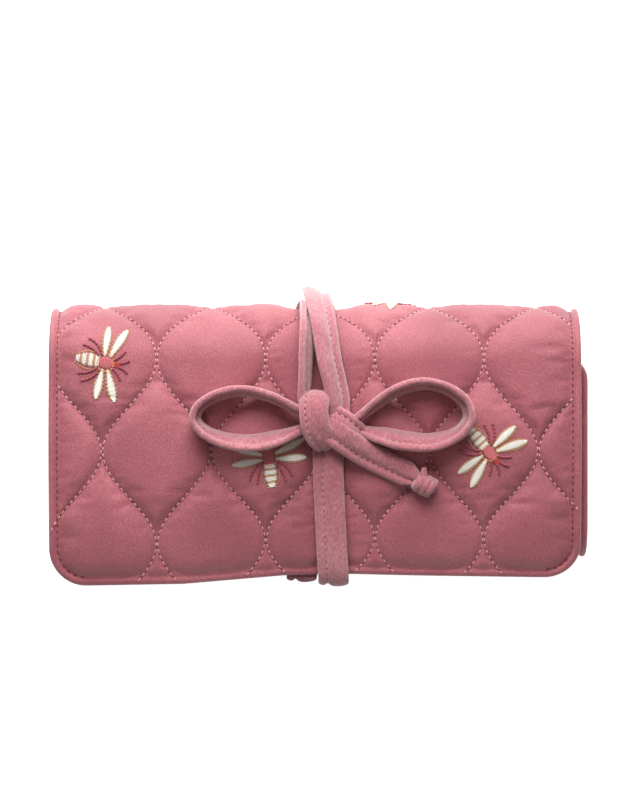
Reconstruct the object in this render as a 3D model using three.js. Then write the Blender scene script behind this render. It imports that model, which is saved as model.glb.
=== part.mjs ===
import * as THREE from "three";
import { RoundedBoxGeometry } from "three/addons/geometries/RoundedBoxGeometry.js";

// A jewelry roll lying on its back, closed and tied. Millimetres, X along the roll, Y towards its
// top fold, Z up from the table to the front flap.

// cloth layers of every panel, from the velvet side inwards
const outerThick = 4.5;
const channelThick = 2.1;
const edgeThick = 2.3;
const waddingThick = 2.0;
const liningThick = 0.8;
const layerGap = 0.3;
const panelThick = outerThick + waddingThick + liningThick + 2 * layerGap;
const turnGap = 0.5;

// plan
const panelWidth = 220;
const flapShiftX = -1.5;
const lowerShiftX = 1.5;
const rollTopY = 56.2;
const flapEdgeY = -59.2;
const bottomFoldY = -51.5;
const lowerTipY = 34.5;
const flapCorner = 15;
const lowerCorner = 10;
const liningInset = 2.5;
const waddingInset = 6;

// heights of the stack
const pocketRoom = 4.6;
const ringBarRadius = 5.5;
const ringBarRoom = 12.4;
const panelRest = 1.4;
const zipFaceTop = panelThick + pocketRoom + liningThick;
const lowerBase = zipFaceTop + ringBarRoom;
const lowerTop = lowerBase + panelThick;
const flapFaceBase = lowerTop + panelRest;
const flapBase = flapFaceBase + liningThick + pocketRoom;
const flapTop = flapBase + panelThick;

// folds: half pipes that turn about two hinges each
const topR = flapTop / 2;
const bottomR = lowerTop / 2;
const topCentreY = rollTopY - topR;
const bottomCentreY = bottomFoldY + bottomR;
const foldHinge = (radius) => {
  const half = ((radius - panelThick / 2) * Math.PI) / 4;
  return { out: half, up: radius - half };
};
const topHinge = foldHinge(topR);
const bottomHinge = foldHinge(bottomR);

// ogee quilting: mirrored wavy stitch lines
const quiltPitch = 22.5;
const quiltPeriod = 74;
const quiltSway = 10.4;
const quiltFirstX = 11.95;
const quiltFirstS = 32;
const quiltLines = [-4, -3, -2, -1, 0, 1, 2, 3];
const quiltSteps = 4;
const borderWidth = 6;

// strip length from the flap's edge through both folds to the lower panel's tip
const stripBack = topCentreY + Math.PI * topR;
const stripBottom = stripBack + (topCentreY - bottomCentreY);
const stripLower = stripBottom + Math.PI * bottomR;

// tie tape
const tapeWidth = 12;
const tapeThick = 2.4;
const tapeGap = 0.4;
const tieReach = 62.2;
const tapeLift = 0.55;
const grooveTop = tapeThick + tapeLift + tapeGap;
const grooveFrom = -23.5;
const grooveTo = 23.5;
const tapeZ = flapTop + tapeGap + tapeThick / 2;

// zip and ring bar
const zipY = 14;
const zipHalf = 82;
const zipGap = 0.4;
const ringBarY = -8;
const ringBarFrom = -72;
const ringBarTo = 66;
const ringBarZ = lowerBase - 0.7 - ringBarRadius;
const snapX = 77;

const velvet = new THREE.MeshStandardMaterial({ color: 0xb2677a, roughness: 0.85 });
const tape = new THREE.MeshStandardMaterial({ color: 0xbd7484, roughness: 0.85 });
const lining = new THREE.MeshStandardMaterial({ color: 0xd9b3ae, roughness: 0.7 });
const fill = new THREE.MeshStandardMaterial({ color: 0xefe9e2, roughness: 0.95 });
const brass = new THREE.MeshStandardMaterial({ color: 0xc9a866, roughness: 0.3, metalness: 1 });

const roll = new THREE.Group();
roll.name = "jewelry_roll";

function add(name, geometry, material) {
  const mesh = new THREE.Mesh(geometry, material);
  mesh.name = name;
  roll.add(mesh);
}

function closedMesh(points, faces) {
  let volume = 0;
  for (const [a, b, c] of faces) {
    volume += points[a].dot(points[b].clone().cross(points[c]));
  }
  const index = volume < 0 ? faces.map(([a, b, c]) => [a, c, b]) : faces;
  const geometry = new THREE.BufferGeometry();
  const flat = points.flatMap((p) => [p.x, p.y, p.z]);
  geometry.setAttribute("position", new THREE.Float32BufferAttribute(flat, 3));
  geometry.setIndex(index.flat());
  geometry.computeVertexNormals();
  return geometry;
}

const smooth = (t) => THREE.MathUtils.smoothstep(t, 0, 1);

function lineX(line, s) {
  const side = line % 2 === 0 ? 1 : -1;
  const wave = Math.cos((2 * Math.PI * (s - quiltFirstS)) / quiltPeriod);
  return quiltFirstX + quiltPitch * line + side * quiltSway * wave;
}

// places across the strip at s, each with its share of the padding's full height
function quiltRow(s, left, right) {
  const knots = [left, ...quiltLines.map((line) => lineX(line, s)), right];
  const row = [];
  for (let k = 0; k + 1 < knots.length; k += 1) {
    const wide = knots[k + 1] - knots[k];
    for (let n = 0; n < quiltSteps; n += 1) {
      const t = n / quiltSteps;
      const puff = Math.sin(Math.PI * t) ** 0.6 * Math.min(1, Math.sqrt(wide / 26));
      row.push({ x: knots[k] + wide * t, puff });
    }
  }
  row.push({ x: right, puff: 0 });
  const reach = (x) => Math.min(x - left, right - x) / borderWidth;
  return row.map((p) => ({ ...p, edge: smooth(Math.min(1, reach(p.x))) }));
}

function quiltHeight(place, endShare) {
  const full = channelThick + (outerThick - channelThick) * place.puff;
  return edgeThick + (full - edgeThick) * place.edge * endShare;
}

// outer rows carry the quilting, inner rows are the flat side
function quiltSlab(outer, inner) {
  const points = [];
  const put = (p) => points.push(p) - 1;
  const top = outer.map((row) => row.map(put));
  const base = inner.map((row) => row.map(put));
  const faces = [];
  const quad = (a, b, c, d) => faces.push([a, b, c], [a, c, d]);
  const last = top[0].length - 1;
  for (let j = 0; j + 1 < top.length; j += 1) {
    for (let i = 0; i < last; i += 1) {
      quad(top[j][i], top[j][i + 1], top[j + 1][i + 1], top[j + 1][i]);
    }
    quad(base[j][1], base[j][0], base[j + 1][0], base[j + 1][1]);
    quad(base[j][0], top[j][0], top[j + 1][0], base[j + 1][0]);
    quad(top[j][last], base[j][1], base[j + 1][1], top[j + 1][last]);
  }
  const middle = Math.round(last / 2);
  const cap = (row, pair, turn) => {
    const fan = [];
    for (let i = 0; i < last; i += 1) {
      fan.push([i < middle ? pair[0] : pair[1], row[i + 1], row[i]]);
    }
    fan.push([pair[0], pair[1], row[middle]]);
    faces.push(...(turn ? fan.map(([a, b, c]) => [a, c, b]) : fan));
  };
  cap(top[0], base[0], false);
  cap(top[top.length - 1], base[base.length - 1], true);
  return closedMesh(points, faces);
}

const spread = (from, to, count) => {
  return Array.from({ length: count + 1 }, (_, k) => from + ((to - from) * k) / count);
};

// half width of a panel whose free edge has rounded corners
function halfWidth(toEdge, corner) {
  if (toEdge >= corner) {
    return panelWidth / 2;
  }
  const d = corner - toEdge;
  return panelWidth / 2 - corner + Math.sqrt(Math.max(0, corner * corner - d * d));
}

// where a flat panel's layer at height z ends beside its fold's hinge
function panelEnd(centreY, side, hinge, turnZ, z) {
  const reach = Math.hypot(hinge.out, hinge.up) + turnGap;
  const dz = z - turnZ;
  return centreY + side * (hinge.out - Math.sqrt(reach * reach - dz * dz));
}

function rowsTo(edgeY, joinY, corner, count) {
  const sign = Math.sign(joinY - edgeY);
  const near = [0, 0.08, 0.25, 0.5, 1].map((k) => edgeY + sign * corner * k);
  return [...near, ...spread(edgeY + sign * corner, joinY, count).slice(1)];
}

// a flat quilted panel with a free edge, its other end on its fold's turning circle
function freePanel(edgeY, join, corner, shiftX, baseZ, toStrip, count) {
  const outerY = rowsTo(edgeY, join(baseZ + outerThick), corner, count);
  const innerY = rowsTo(edgeY, join(baseZ), corner, count);
  const outer = outerY.map((y, k) => {
    const half = halfWidth(Math.abs(y - edgeY), corner);
    const share = smooth(Math.min(1, Math.abs(y - edgeY) / borderWidth));
    const row = quiltRow(toStrip(y), shiftX - half, shiftX + half);
    return row.map((p) => {
      const z = baseZ + quiltHeight(p, share);
      return new THREE.Vector3(p.x, k + 1 < outerY.length ? y : join(z), z);
    });
  });
  const inner = innerY.map((y) => {
    const half = halfWidth(Math.abs(y - edgeY), corner);
    return [-half, half].map((x) => new THREE.Vector3(shiftX + x, y, baseZ));
  });
  return quiltSlab(outer, inner);
}

function roundedPlan(fromY, toY, half, shiftX, cornerLow, cornerHigh) {
  const shape = new THREE.Shape();
  shape.moveTo(shiftX - half + cornerLow, fromY);
  shape.lineTo(shiftX + half - cornerLow, fromY);
  if (cornerLow > 0) {
    shape.absarc(shiftX + half - cornerLow, fromY + cornerLow, cornerLow, -Math.PI / 2, 0);
  }
  shape.lineTo(shiftX + half, toY - cornerHigh);
  if (cornerHigh > 0) {
    shape.absarc(shiftX + half - cornerHigh, toY - cornerHigh, cornerHigh, 0, Math.PI / 2);
  }
  shape.lineTo(shiftX - half + cornerHigh, toY);
  if (cornerHigh > 0) {
    shape.absarc(shiftX - half + cornerHigh, toY - cornerHigh, cornerHigh, Math.PI / 2, Math.PI);
  }
  shape.lineTo(shiftX - half, fromY + cornerLow);
  if (cornerLow > 0) {
    shape.absarc(shiftX - half + cornerLow, fromY + cornerLow, cornerLow, Math.PI, 1.5 * Math.PI);
  }
  return shape;
}

function sheet(shape, fromZ, toZ) {
  const depth = toZ - fromZ;
  const geometry = new THREE.ExtrudeGeometry(shape, { depth, bevelEnabled: false, curveSegments: 5 });
  return geometry.translate(0, 0, fromZ);
}

// half pipe between two radii; side is +1 for the top fold, -1 for the bottom one
function pipe(centreY, centreZ, side, inner, outer, half, shiftX, hinge, count) {
  const end = (radius) => foldEnd(radius, centreZ, hinge);
  const rows = (radius) => spread(-end(radius), end(radius), count);
  const at = (x, radius, angle) => {
    const y = centreY + side * radius * Math.cos(angle);
    return new THREE.Vector3(shiftX + x, y, centreZ + radius * Math.sin(angle));
  };
  const row = (radius) => (a) => [-half, half].map((x) => at(x, radius, a));
  return quiltSlab(rows(outer).map(row(outer)), rows(inner).map(row(inner)));
}

// the angle where a fold's layer of this radius meets its hinge's turning circle
function foldEnd(radius, centreZ, hinge) {
  const reach = Math.hypot(hinge.out, hinge.up);
  let angle = Math.PI / 2 + 0.2;
  const past = (a) => {
    const y = radius * Math.cos(a) - hinge.out;
    const z = centreZ - radius * Math.sin(a) - hinge.up;
    return Math.hypot(y, z) > reach;
  };
  while (past(angle)) {
    angle -= 0.002;
  }
  return angle;
}

function quiltPipe(centreY, centreZ, side, outerR, shiftX, hinge, stripFrom, count, groove) {
  const inner = outerR - outerThick;
  const inEnd = foldEnd(inner, centreZ, hinge);
  const outEnd = foldEnd(outerR, centreZ, hinge);
  const half = panelWidth / 2;
  const at = (x, radius, angle) => {
    const y = centreY + side * radius * Math.cos(angle);
    return new THREE.Vector3(x, y, centreZ + radius * Math.sin(angle));
  };
  const outer = spread(-outEnd, outEnd, count).map((angle, k) => {
    const s = stripFrom - side * outerR * (angle + (side * Math.PI) / 2);
    const row = quiltRow(s, shiftX - half, shiftX + half);
    return row.map((p) => {
      const radius = inner + quiltHeight(p, 1);
      const end = k % count ? angle : Math.sign(angle) * foldEnd(radius, centreZ, hinge);
      const point = at(p.x, radius, end);
      if (p.x > groove[0] && p.x < groove[1]) {
        point.z = Math.max(point.z, grooveTop);
      }
      point.z = Math.max(point.z, 0);
      return point;
    });
  });
  const rows = spread(-inEnd, inEnd, count);
  const flat = rows.map((angle) => [-half, half].map((x) => at(shiftX + x, inner, angle)));
  return quiltSlab(outer, flat);
}

// a flat tape swept along a smooth path; wide gives the tape's width direction at each point
function tapeSweep(path, wide, count, width = tapeWidth, thick = tapeThick) {
  const line = new THREE.CatmullRomCurve3(path.map((p) => new THREE.Vector3(...p)));
  const widths = new THREE.CatmullRomCurve3(wide.map((p) => new THREE.Vector3(...p)));
  const w = width / 2;
  const h = thick / 2;
  const r = h * 0.6;
  const profile = [
    [-w, -h + r], [-w + r, -h], [w - r, -h], [w, -h + r],
    [w, h - r], [w - r, h], [-w + r, h], [-w, h - r],
  ];
  const points = [];
  const rings = spread(0, 1, count).map((t) => {
    const centre = line.getPoint(t);
    const along = line.getTangent(t);
    const across = widths.getPoint(t);
    across.addScaledVector(along, -across.dot(along)).normalize();
    const normal = along.clone().cross(across);
    return profile.map(([a, b]) => {
      const p = centre.clone().addScaledVector(across, a).addScaledVector(normal, b);
      return points.push(p) - 1;
    });
  });
  const faces = [];
  const n = profile.length;
  for (let k = 0; k + 1 < rings.length; k += 1) {
    for (let i = 0; i < n; i += 1) {
      const [a, b, c, d] = [rings[k][i], rings[k][(i + 1) % n], rings[k + 1][(i + 1) % n], rings[k + 1][i]];
      faces.push([a, b, c], [a, c, d]);
    }
  }
  for (let i = 1; i + 1 < n; i += 1) {
    faces.push([rings[0][0], rings[0][i + 1], rings[0][i]]);
    faces.push([rings[count][0], rings[count][i], rings[count][i + 1]]);
  }
  return closedMesh(points, faces);
}

function alongX(profile, from, to) {
  const geometry = new THREE.LatheGeometry(profile.map(([r, x]) => new THREE.Vector2(r, x)), 24);
  return geometry.rotateZ(-Math.PI / 2).translate((from + to) / 2, 0, 0);
}

// front flap: velvet, wadding, lining
const flapVelvetBase = flapTop - outerThick;
const flapTurnZ = flapTop - topHinge.up;
const flapJoin = (z) => panelEnd(topCentreY, 1, topHinge, flapTurnZ, z);
add("flap_outer", freePanel(flapEdgeY, flapJoin, flapCorner,
  flapShiftX, flapVelvetBase, (y) => y, 15), velvet);
const flapWadTop = flapVelvetBase - layerGap;
const flapWadEnd = Math.min(flapJoin(flapWadTop), flapJoin(flapWadTop - waddingThick));
add("flap_wadding", sheet(roundedPlan(flapEdgeY + waddingInset, flapWadEnd, panelWidth / 2 - waddingInset,
  flapShiftX, flapCorner, 0), flapWadTop - waddingThick, flapWadTop), fill);
const flapLinEnd = Math.min(flapJoin(flapBase), flapJoin(flapBase + liningThick));
add("flap_lining", sheet(roundedPlan(flapEdgeY + liningInset, flapLinEnd, panelWidth / 2 - liningInset,
  flapShiftX, flapCorner, 0), flapBase, flapBase + liningThick), lining);

// slip pocket on the flap's lining, open towards the top fold
const slipHalf = 95;
const slipFrom = -50;
const slipTo = 20;
const slipWall = 1.2;
const slipFace = roundedPlan(slipFrom, slipTo, slipHalf, flapShiftX, 6, 0);
add("flap_pocket_face", sheet(slipFace, flapFaceBase, flapFaceBase + liningThick), lining);
const slipGusset = new THREE.Shape([
  [-slipHalf, slipTo], [-slipHalf, slipFrom + 6], [-slipHalf + 6, slipFrom], [slipHalf - 6, slipFrom],
  [slipHalf, slipFrom + 6], [slipHalf, slipTo], [slipHalf - slipWall, slipTo],
  [slipHalf - slipWall, slipFrom + 6.5], [slipHalf - 6.5, slipFrom + slipWall],
  [slipWall / 2, slipFrom + slipWall], [slipWall / 2, slipTo], [-slipWall / 2, slipTo],
  [-slipWall / 2, slipFrom + slipWall], [-slipHalf + 6.5, slipFrom + slipWall],
  [-slipHalf + slipWall, slipFrom + 6.5], [-slipHalf + slipWall, slipTo],
].map(([x, y]) => new THREE.Vector2(flapShiftX + x, y)));
add("flap_pocket_gusset", sheet(slipGusset, flapFaceBase + liningThick + layerGap, flapBase - layerGap), lining);

// top fold
const topFrom = stripBack - Math.PI * topR;
add("top_fold_outer", quiltPipe(topCentreY, topR, 1, topR, flapShiftX, topHinge,
  topFrom + Math.PI * topR, 14, [grooveFrom, grooveTo]), velvet);
const topWad = topR - outerThick - layerGap;
add("top_fold_wadding", pipe(topCentreY, topR, 1, topWad - waddingThick, topWad,
  panelWidth / 2 - waddingInset, flapShiftX, topHinge, 14), fill);
const topLin = topR - panelThick;
add("top_fold_lining", pipe(topCentreY, topR, 1, topLin, topLin + liningThick,
  panelWidth / 2 - liningInset, flapShiftX, topHinge, 14), lining);

// back: velvet down, with a shallow groove where the tie passes
const backTop = (z) => panelEnd(topCentreY, 1, topHinge, topHinge.up, z);
const backLow = (z) => panelEnd(bottomCentreY, -1, bottomHinge, bottomHinge.up, z);
const backRows = 14;
const backOuter = spread(backLow(0), backTop(0), backRows).map((y, k) => {
  const row = quiltRow(stripBack + (topCentreY - y), -panelWidth / 2, panelWidth / 2);
  const ends = { 0: backLow, [backRows]: backTop };
  return row.map((p) => {
    const height = Math.min(outerThick, quiltHeight(p, 1) + 0.5);
    const low = p.x > grooveFrom && p.x < grooveTo ? grooveTop : 0;
    const z = Math.max(low, outerThick - height);
    return new THREE.Vector3(p.x, ends[k] ? ends[k](z) : y, z);
  });
});
const backInner = spread(backLow(outerThick), backTop(outerThick), backRows).map((y) => {
  return [-1, 1].map((side) => new THREE.Vector3((side * panelWidth) / 2, y, outerThick));
});
add("back_outer", quiltSlab(backOuter, backInner), velvet);
const backWad = outerThick + layerGap;
const endOf = (join, pick, from, to) => pick(join(from), join(to));
add("back_wadding", sheet(roundedPlan(
  endOf(backLow, Math.max, backWad, backWad + waddingThick),
  endOf(backTop, Math.min, backWad, backWad + waddingThick),
  panelWidth / 2 - waddingInset, 0, 0, 0), backWad, backWad + waddingThick), fill);
add("back_lining", sheet(roundedPlan(
  endOf(backLow, Math.max, panelThick - liningThick, panelThick),
  endOf(backTop, Math.min, panelThick - liningThick, panelThick),
  panelWidth / 2 - liningInset, 0, 0, 0), panelThick - liningThick, panelThick), lining);

// zip pocket on the back's lining
const zipPocketHalf = 98;
const zipPocketFrom = -30;
const zipPocketTo = 26;
const zipFace = roundedPlan(zipPocketFrom, zipPocketTo, zipPocketHalf, 0, 4, 4);
const slit = new THREE.Path();
slit.moveTo(-zipHalf - 2, zipY - 3.6);
slit.lineTo(-zipHalf - 2, zipY + 3.6);
slit.lineTo(zipHalf + 2, zipY + 3.6);
slit.lineTo(zipHalf + 2, zipY - 3.6);
slit.closePath();
zipFace.holes.push(slit);
add("zip_pocket_face", sheet(zipFace, zipFaceTop - liningThick, zipFaceTop), lining);
const zipGusset = roundedPlan(zipPocketFrom, zipPocketTo, zipPocketHalf, 0, 4, 4);
const zipInside = new THREE.Path();
zipInside.moveTo(-zipPocketHalf + 4, zipPocketFrom + 1.2);
zipInside.lineTo(-zipPocketHalf + 1.2, zipPocketFrom + 4);
zipInside.lineTo(-zipPocketHalf + 1.2, zipPocketTo - 4);
zipInside.lineTo(-zipPocketHalf + 4, zipPocketTo - 1.2);
zipInside.lineTo(zipPocketHalf - 4, zipPocketTo - 1.2);
zipInside.lineTo(zipPocketHalf - 1.2, zipPocketTo - 4);
zipInside.lineTo(zipPocketHalf - 1.2, zipPocketFrom + 4);
zipInside.lineTo(zipPocketHalf - 4, zipPocketFrom + 1.2);
zipInside.closePath();
zipGusset.holes.push(zipInside);
add("zip_pocket_gusset", sheet(zipGusset, panelThick + layerGap, zipFaceTop - liningThick - layerGap), lining);

// zip: tapes over the slit's edges, teeth on the tapes, stops at both ends
const zipTapeZ = zipFaceTop + layerGap;
const zipTapeThick = 0.6;
const teethZ = zipTapeZ + zipTapeThick + layerGap;
const teethThick = 1.2;
for (const [side, name] of [[1, "upper"], [-1, "lower"]]) {
  const strip = new THREE.BoxGeometry(2 * zipHalf + 6, 6.5, zipTapeThick);
  strip.translate(0, zipY + side * (zipGap + 0.1 + 3.25), zipTapeZ + zipTapeThick / 2);
  add(`zip_tape_${name}`, strip, lining);
  const comb = new THREE.Shape();
  comb.moveTo(-zipHalf, zipY + side * (zipGap + 1.8));
  for (const k of spread(0, 40, 40)) {
    const x = -zipHalf + (2 * zipHalf * k) / 40;
    comb.lineTo(x, zipY + side * (zipGap + (k % 2 ? 0 : 0.7)));
  }
  comb.lineTo(zipHalf, zipY + side * (zipGap + 1.8));
  comb.closePath();
  add(`zip_teeth_${name}`, sheet(comb, teethZ, teethZ + teethThick), brass);
}
for (const [side, name] of [[-1, "left"], [1, "right"]]) {
  const stop = new THREE.BoxGeometry(1.4, 4.4, teethThick);
  stop.translate(side * (zipHalf + 1.1), zipY, teethZ + teethThick / 2);
  add(`zip_stop_${name}`, stop, brass);
}
const sliderLength = 9;
const sliderFrom = -zipHalf + 2;
const plateTop = teethZ + teethThick + layerGap;
const plateLow = zipTapeZ - layerGap;
const sliderProfile = new THREE.Shape([
  [-3, plateLow - 1], [3, plateLow - 1], [3, plateLow], [0.2, plateLow], [0.2, plateTop], [3.8, plateTop],
  [3.8, plateTop + 1], [-3.8, plateTop + 1], [-3.8, plateTop], [-0.2, plateTop], [-0.2, plateLow], [-3, plateLow],
].map(([y, z]) => new THREE.Vector2(y, z)));
const slider = new THREE.ExtrudeGeometry(sliderProfile, { depth: sliderLength, bevelEnabled: false });
slider.rotateX(Math.PI / 2).rotateZ(Math.PI / 2).translate(sliderFrom, zipY, 0);
add("zip_slider", slider, brass);
const pullPlan = roundedPlan(zipY - 3, zipY + 3, 8.5, sliderFrom + 2 + 8.5, 1.5, 1.5);
const pullEye = new THREE.Path();
pullEye.absarc(sliderFrom + 14.5, zipY, 1.4, 0, 2 * Math.PI, true);
pullPlan.holes.push(pullEye);
add("zip_pull", sheet(pullPlan, plateTop + 1 + layerGap, plateTop + 1 + layerGap + 1.2), brass);

// bottom fold
add("bottom_fold_outer", quiltPipe(bottomCentreY, bottomR, -1, bottomR, lowerShiftX, bottomHinge,
  stripBottom, 11, [grooveFrom, grooveTo]), velvet);
const bottomWad = bottomR - outerThick - layerGap;
add("bottom_fold_wadding", pipe(bottomCentreY, bottomR, -1, bottomWad - waddingThick, bottomWad,
  panelWidth / 2 - waddingInset, lowerShiftX, bottomHinge, 11), fill);
const bottomLin = bottomR - panelThick;
add("bottom_fold_lining", pipe(bottomCentreY, bottomR, -1, bottomLin, bottomLin + liningThick,
  panelWidth / 2 - liningInset, lowerShiftX, bottomHinge, 11), lining);

// lower panel
const lowerVelvetBase = lowerTop - outerThick;
const lowerTurnZ = lowerTop - bottomHinge.up;
const lowerJoin = (z) => panelEnd(bottomCentreY, -1, bottomHinge, lowerTurnZ, z);
add("lower_outer", freePanel(lowerTipY, lowerJoin, lowerCorner,
  lowerShiftX, lowerVelvetBase, (y) => stripLower + y - bottomCentreY, 11), velvet);
const lowerWadTop = lowerVelvetBase - layerGap;
add("lower_wadding", sheet(roundedPlan(
  endOf(lowerJoin, Math.max, lowerWadTop, lowerWadTop - waddingThick), lowerTipY - waddingInset,
  panelWidth / 2 - waddingInset, lowerShiftX, 0, lowerCorner), lowerWadTop - waddingThick, lowerWadTop), fill);
add("lower_lining", sheet(roundedPlan(
  endOf(lowerJoin, Math.max, lowerBase, lowerBase + liningThick), lowerTipY - liningInset,
  panelWidth / 2 - liningInset, lowerShiftX, 0, lowerCorner), lowerBase, lowerBase + liningThick), lining);

// ring bar under the lower panel's lining: sewn at its left end, snapped at its right end
const anchor = new THREE.BoxGeometry(19.6, 14, liningThick);
anchor.translate(ringBarFrom - 0.4 - 9.8, ringBarY, lowerBase - layerGap - liningThick / 2);
add("ring_bar_anchor", anchor, lining);
const barHalf = (ringBarTo - ringBarFrom) / 2;
const coverInner = ringBarRadius - 1.2;
const cover = alongX([
  [coverInner, -barHalf], [ringBarRadius, -barHalf], [ringBarRadius, barHalf],
  [coverInner, barHalf], [coverInner, -barHalf],
], ringBarFrom, ringBarTo);
add("ring_bar_cover", cover.translate(0, ringBarY, ringBarZ), lining);
const core = new THREE.CylinderGeometry(coverInner - layerGap, coverInner - layerGap, 2 * barHalf - 1, 24);
core.rotateZ(Math.PI / 2).translate((ringBarFrom + ringBarTo) / 2, ringBarY, ringBarZ);
add("ring_bar_core", core, fill);
const studBase = lowerBase - layerGap;
const socketTop = studBase - 0.6 - layerGap;
const socketThick = 1.4;
const tabTop = socketTop - socketThick - layerGap;
const tabPlan = roundedPlan(ringBarY - 7, ringBarY + 7, 11, ringBarTo + layerGap + 11, 3, 3);
add("ring_bar_snap_tab", sheet(tabPlan, tabTop - 1, tabTop), lining);
const stud = new THREE.LatheGeometry([
  [0, 0], [2, 0], [2, 1.6], [5, 1.6], [5, 2.2], [0, 2.2],
].map(([r, z]) => new THREE.Vector2(r, z)), 24);
stud.rotateX(Math.PI / 2).translate(snapX, ringBarY, studBase - 2.2);
add("snap_stud", stud, brass);
const socket = new THREE.LatheGeometry([
  [2.3, 0], [5.4, 0], [5.4, socketThick], [2.3, socketThick], [2.3, 0],
].map(([r, z]) => new THREE.Vector2(r, z)), 24);
socket.rotateX(Math.PI / 2).translate(snapX, ringBarY, socketTop - socketThick);
add("snap_socket", socket, brass);

// tie: two turns round the roll, a bow and one tail
const flatX = [1, 0, 0];
const underZ = tapeThick / 2 + tapeLift;
const overTop = (x, out, angle) => {
  const radius = topR + tapeGap + tapeThick / 2 + out * Math.cos(angle);
  const z = Math.max(underZ, topR + radius * Math.sin(angle));
  return [x, topCentreY + radius * Math.cos(angle), z];
};
const underFold = (x, angle) => {
  const radius = bottomR + 1.5 * tapeGap + tapeThick / 2;
  const z = Math.max(underZ, bottomR - radius * Math.cos(angle));
  return [x, bottomCentreY - radius * Math.sin(angle), z];
};
const topOut = tieReach - tapeThick - tapeGap - rollTopY;
const tapeEdgeY = -tieReach + tapeThick / 2 + 0.2;
const firstPath = [
  [6.3, -4.2, tapeZ + 0.6], [6.3, -16, tapeZ], [6.3, -34, tapeZ], [6.3, -54.5, tapeZ],
  [6.3, -59.4, tapeZ - 0.6], [6.3, tapeEdgeY, tapeZ - 5], [6.3, tapeEdgeY + 0.3, 35], [6.3, -57.6, 22],
  underFold(6.3, 1.1), underFold(6.3, 0.78), underFold(6.3, 0.5), underFold(6.3, 0), [6.3, -16, underZ],
  [6.3, 4, underZ], [6.3, 24, underZ], overTop(6.5, topOut, -1.15), overTop(6.6, topOut, -0.7),
  overTop(6.8, topOut, -0.25), overTop(7, topOut, 0.15), overTop(7.2, topOut, 0.6), overTop(7.6, topOut, 1.05),
  [8.4, 30, tapeZ + 0.5], [10, 22, tapeZ + 0.9], [11.4, 11.6, tapeZ + 1.4],
];
add("tie_turn_first", tapeSweep(firstPath, firstPath.map(() => flatX), 46), tape);
const secondOut = topOut - 1.2;
const secondPath = [
  [-4.6, 19.2, flapTop + tapeGap + 6.1], [-5, 26, flapTop + tapeGap + 5.8], overTop(-6, secondOut + 8, 1.2),
  overTop(-6.3, secondOut + 1, 0.75), overTop(-6.3, secondOut, 0.3), overTop(-6.3, secondOut, -0.2),
  overTop(-6.3, secondOut, -0.7), overTop(-6.3, secondOut, -1.15), [-6.3, 24, underZ], [-6.3, 4, underZ],
  [-6.3, -16, underZ], underFold(-6.3, 0), underFold(-6.3, 0.5), underFold(-6.3, 0.78), underFold(-6.5, 1.1),
  [-6.8, -57.2, 20], [-7, -58.8, 30], [-7, -58.8, 38.6],
];
const secondWide = secondPath.map((_, k) => [[0.25, 0, 0.97], [0.4, 0, 0.9], [0.8, 0, 0.6]][k] ?? flatX);
add("tie_turn_second", tapeSweep(secondPath, secondWide, 40), tape);
const wrap = new RoundedBoxGeometry(12.4, 18, 10, 2, 3.2);
wrap.translate(-1.8, 9.6, flapTop + tapeGap + 5.6);
add("tie_knot_wrap", wrap, tape);
const crossing = new RoundedBoxGeometry(12.2, 13, 8.6, 2, 3);
crossing.translate(10.9, 4, flapTop + tapeGap + 4.9);
add("tie_knot_crossing", crossing, tape);

const standZ = flapTop + tapeGap + 0.2;
const loopPoint = ([x, y, lift]) => [x, y, standZ + lift];
const leftLoop = [
  [-8.6, 13, 6.6], [-22.3, 19.2, 6.4], [-37.8, 19, 6.2], [-48.6, 14.4, 6.1], [-51.2, 9.4, 6.1],
  [-47.6, 2.2, 5.9], [-30.6, -1.6, 5.3], [-18, 0.4, 5.3], [-8.6, 3.4, 5.8],
];
const leftWide = [
  [0, 0.2, 0.98], [0, 0.3, 0.95], [-0.1, 0.35, 0.93], [-0.25, 0.2, 0.95], [-0.3, 0, 0.95],
  [-0.25, -0.35, 0.9], [0, -0.62, 0.78], [0, -0.6, 0.8], [0, -0.3, 0.95],
];
add("tie_loop_left", tapeSweep(leftLoop.map(loopPoint), leftWide, 26), tape);
const rightLoop = [
  [17.6, 9.4, 6.4], [23.4, 15.6, 6.4], [33, 21.6, 6.2], [47.3, 22, 6.1], [58.6, 15.4, 6.1],
  [60.4, 8.4, 6.1], [57.6, 2, 5.9], [46, -2.4, 5.3], [30, -0.6, 5.3], [17.6, 3, 6],
];
const rightWide = [
  [0, 0.1, 0.98], [-0.1, 0.3, 0.95], [-0.1, 0.35, 0.93], [0.1, 0.35, 0.93], [0.3, 0.2, 0.93],
  [0.3, 0, 0.95], [0.25, -0.35, 0.9], [0, -0.62, 0.78], [0, -0.6, 0.8], [0, -0.2, 0.98],
];
add("tie_loop_right", tapeSweep(rightLoop.map(loopPoint), rightWide, 28), tape);
const tailPath = [[16.8, -8.2, 2.6], [23, -11.2, 2.2], [31, -14.6, 1.9], [38.6, -17.8, 2]].map(loopPoint);
add("tie_tail", tapeSweep(tailPath, tailPath.map(() => [0.4, 0.9, 0.15]), 10), tape);
const endKnot = new THREE.SphereGeometry(1, 14, 10);
endKnot.scale(4.4, 5.2, 4.2).rotateZ(0.3).translate(43.6, -19.9, standZ + 4.3);
add("tie_end_knot", endKnot, tape);

export default roll;
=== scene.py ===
import bisect
import math

import bmesh
import bpy
from mathutils import Matrix, Vector, noise


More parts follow.
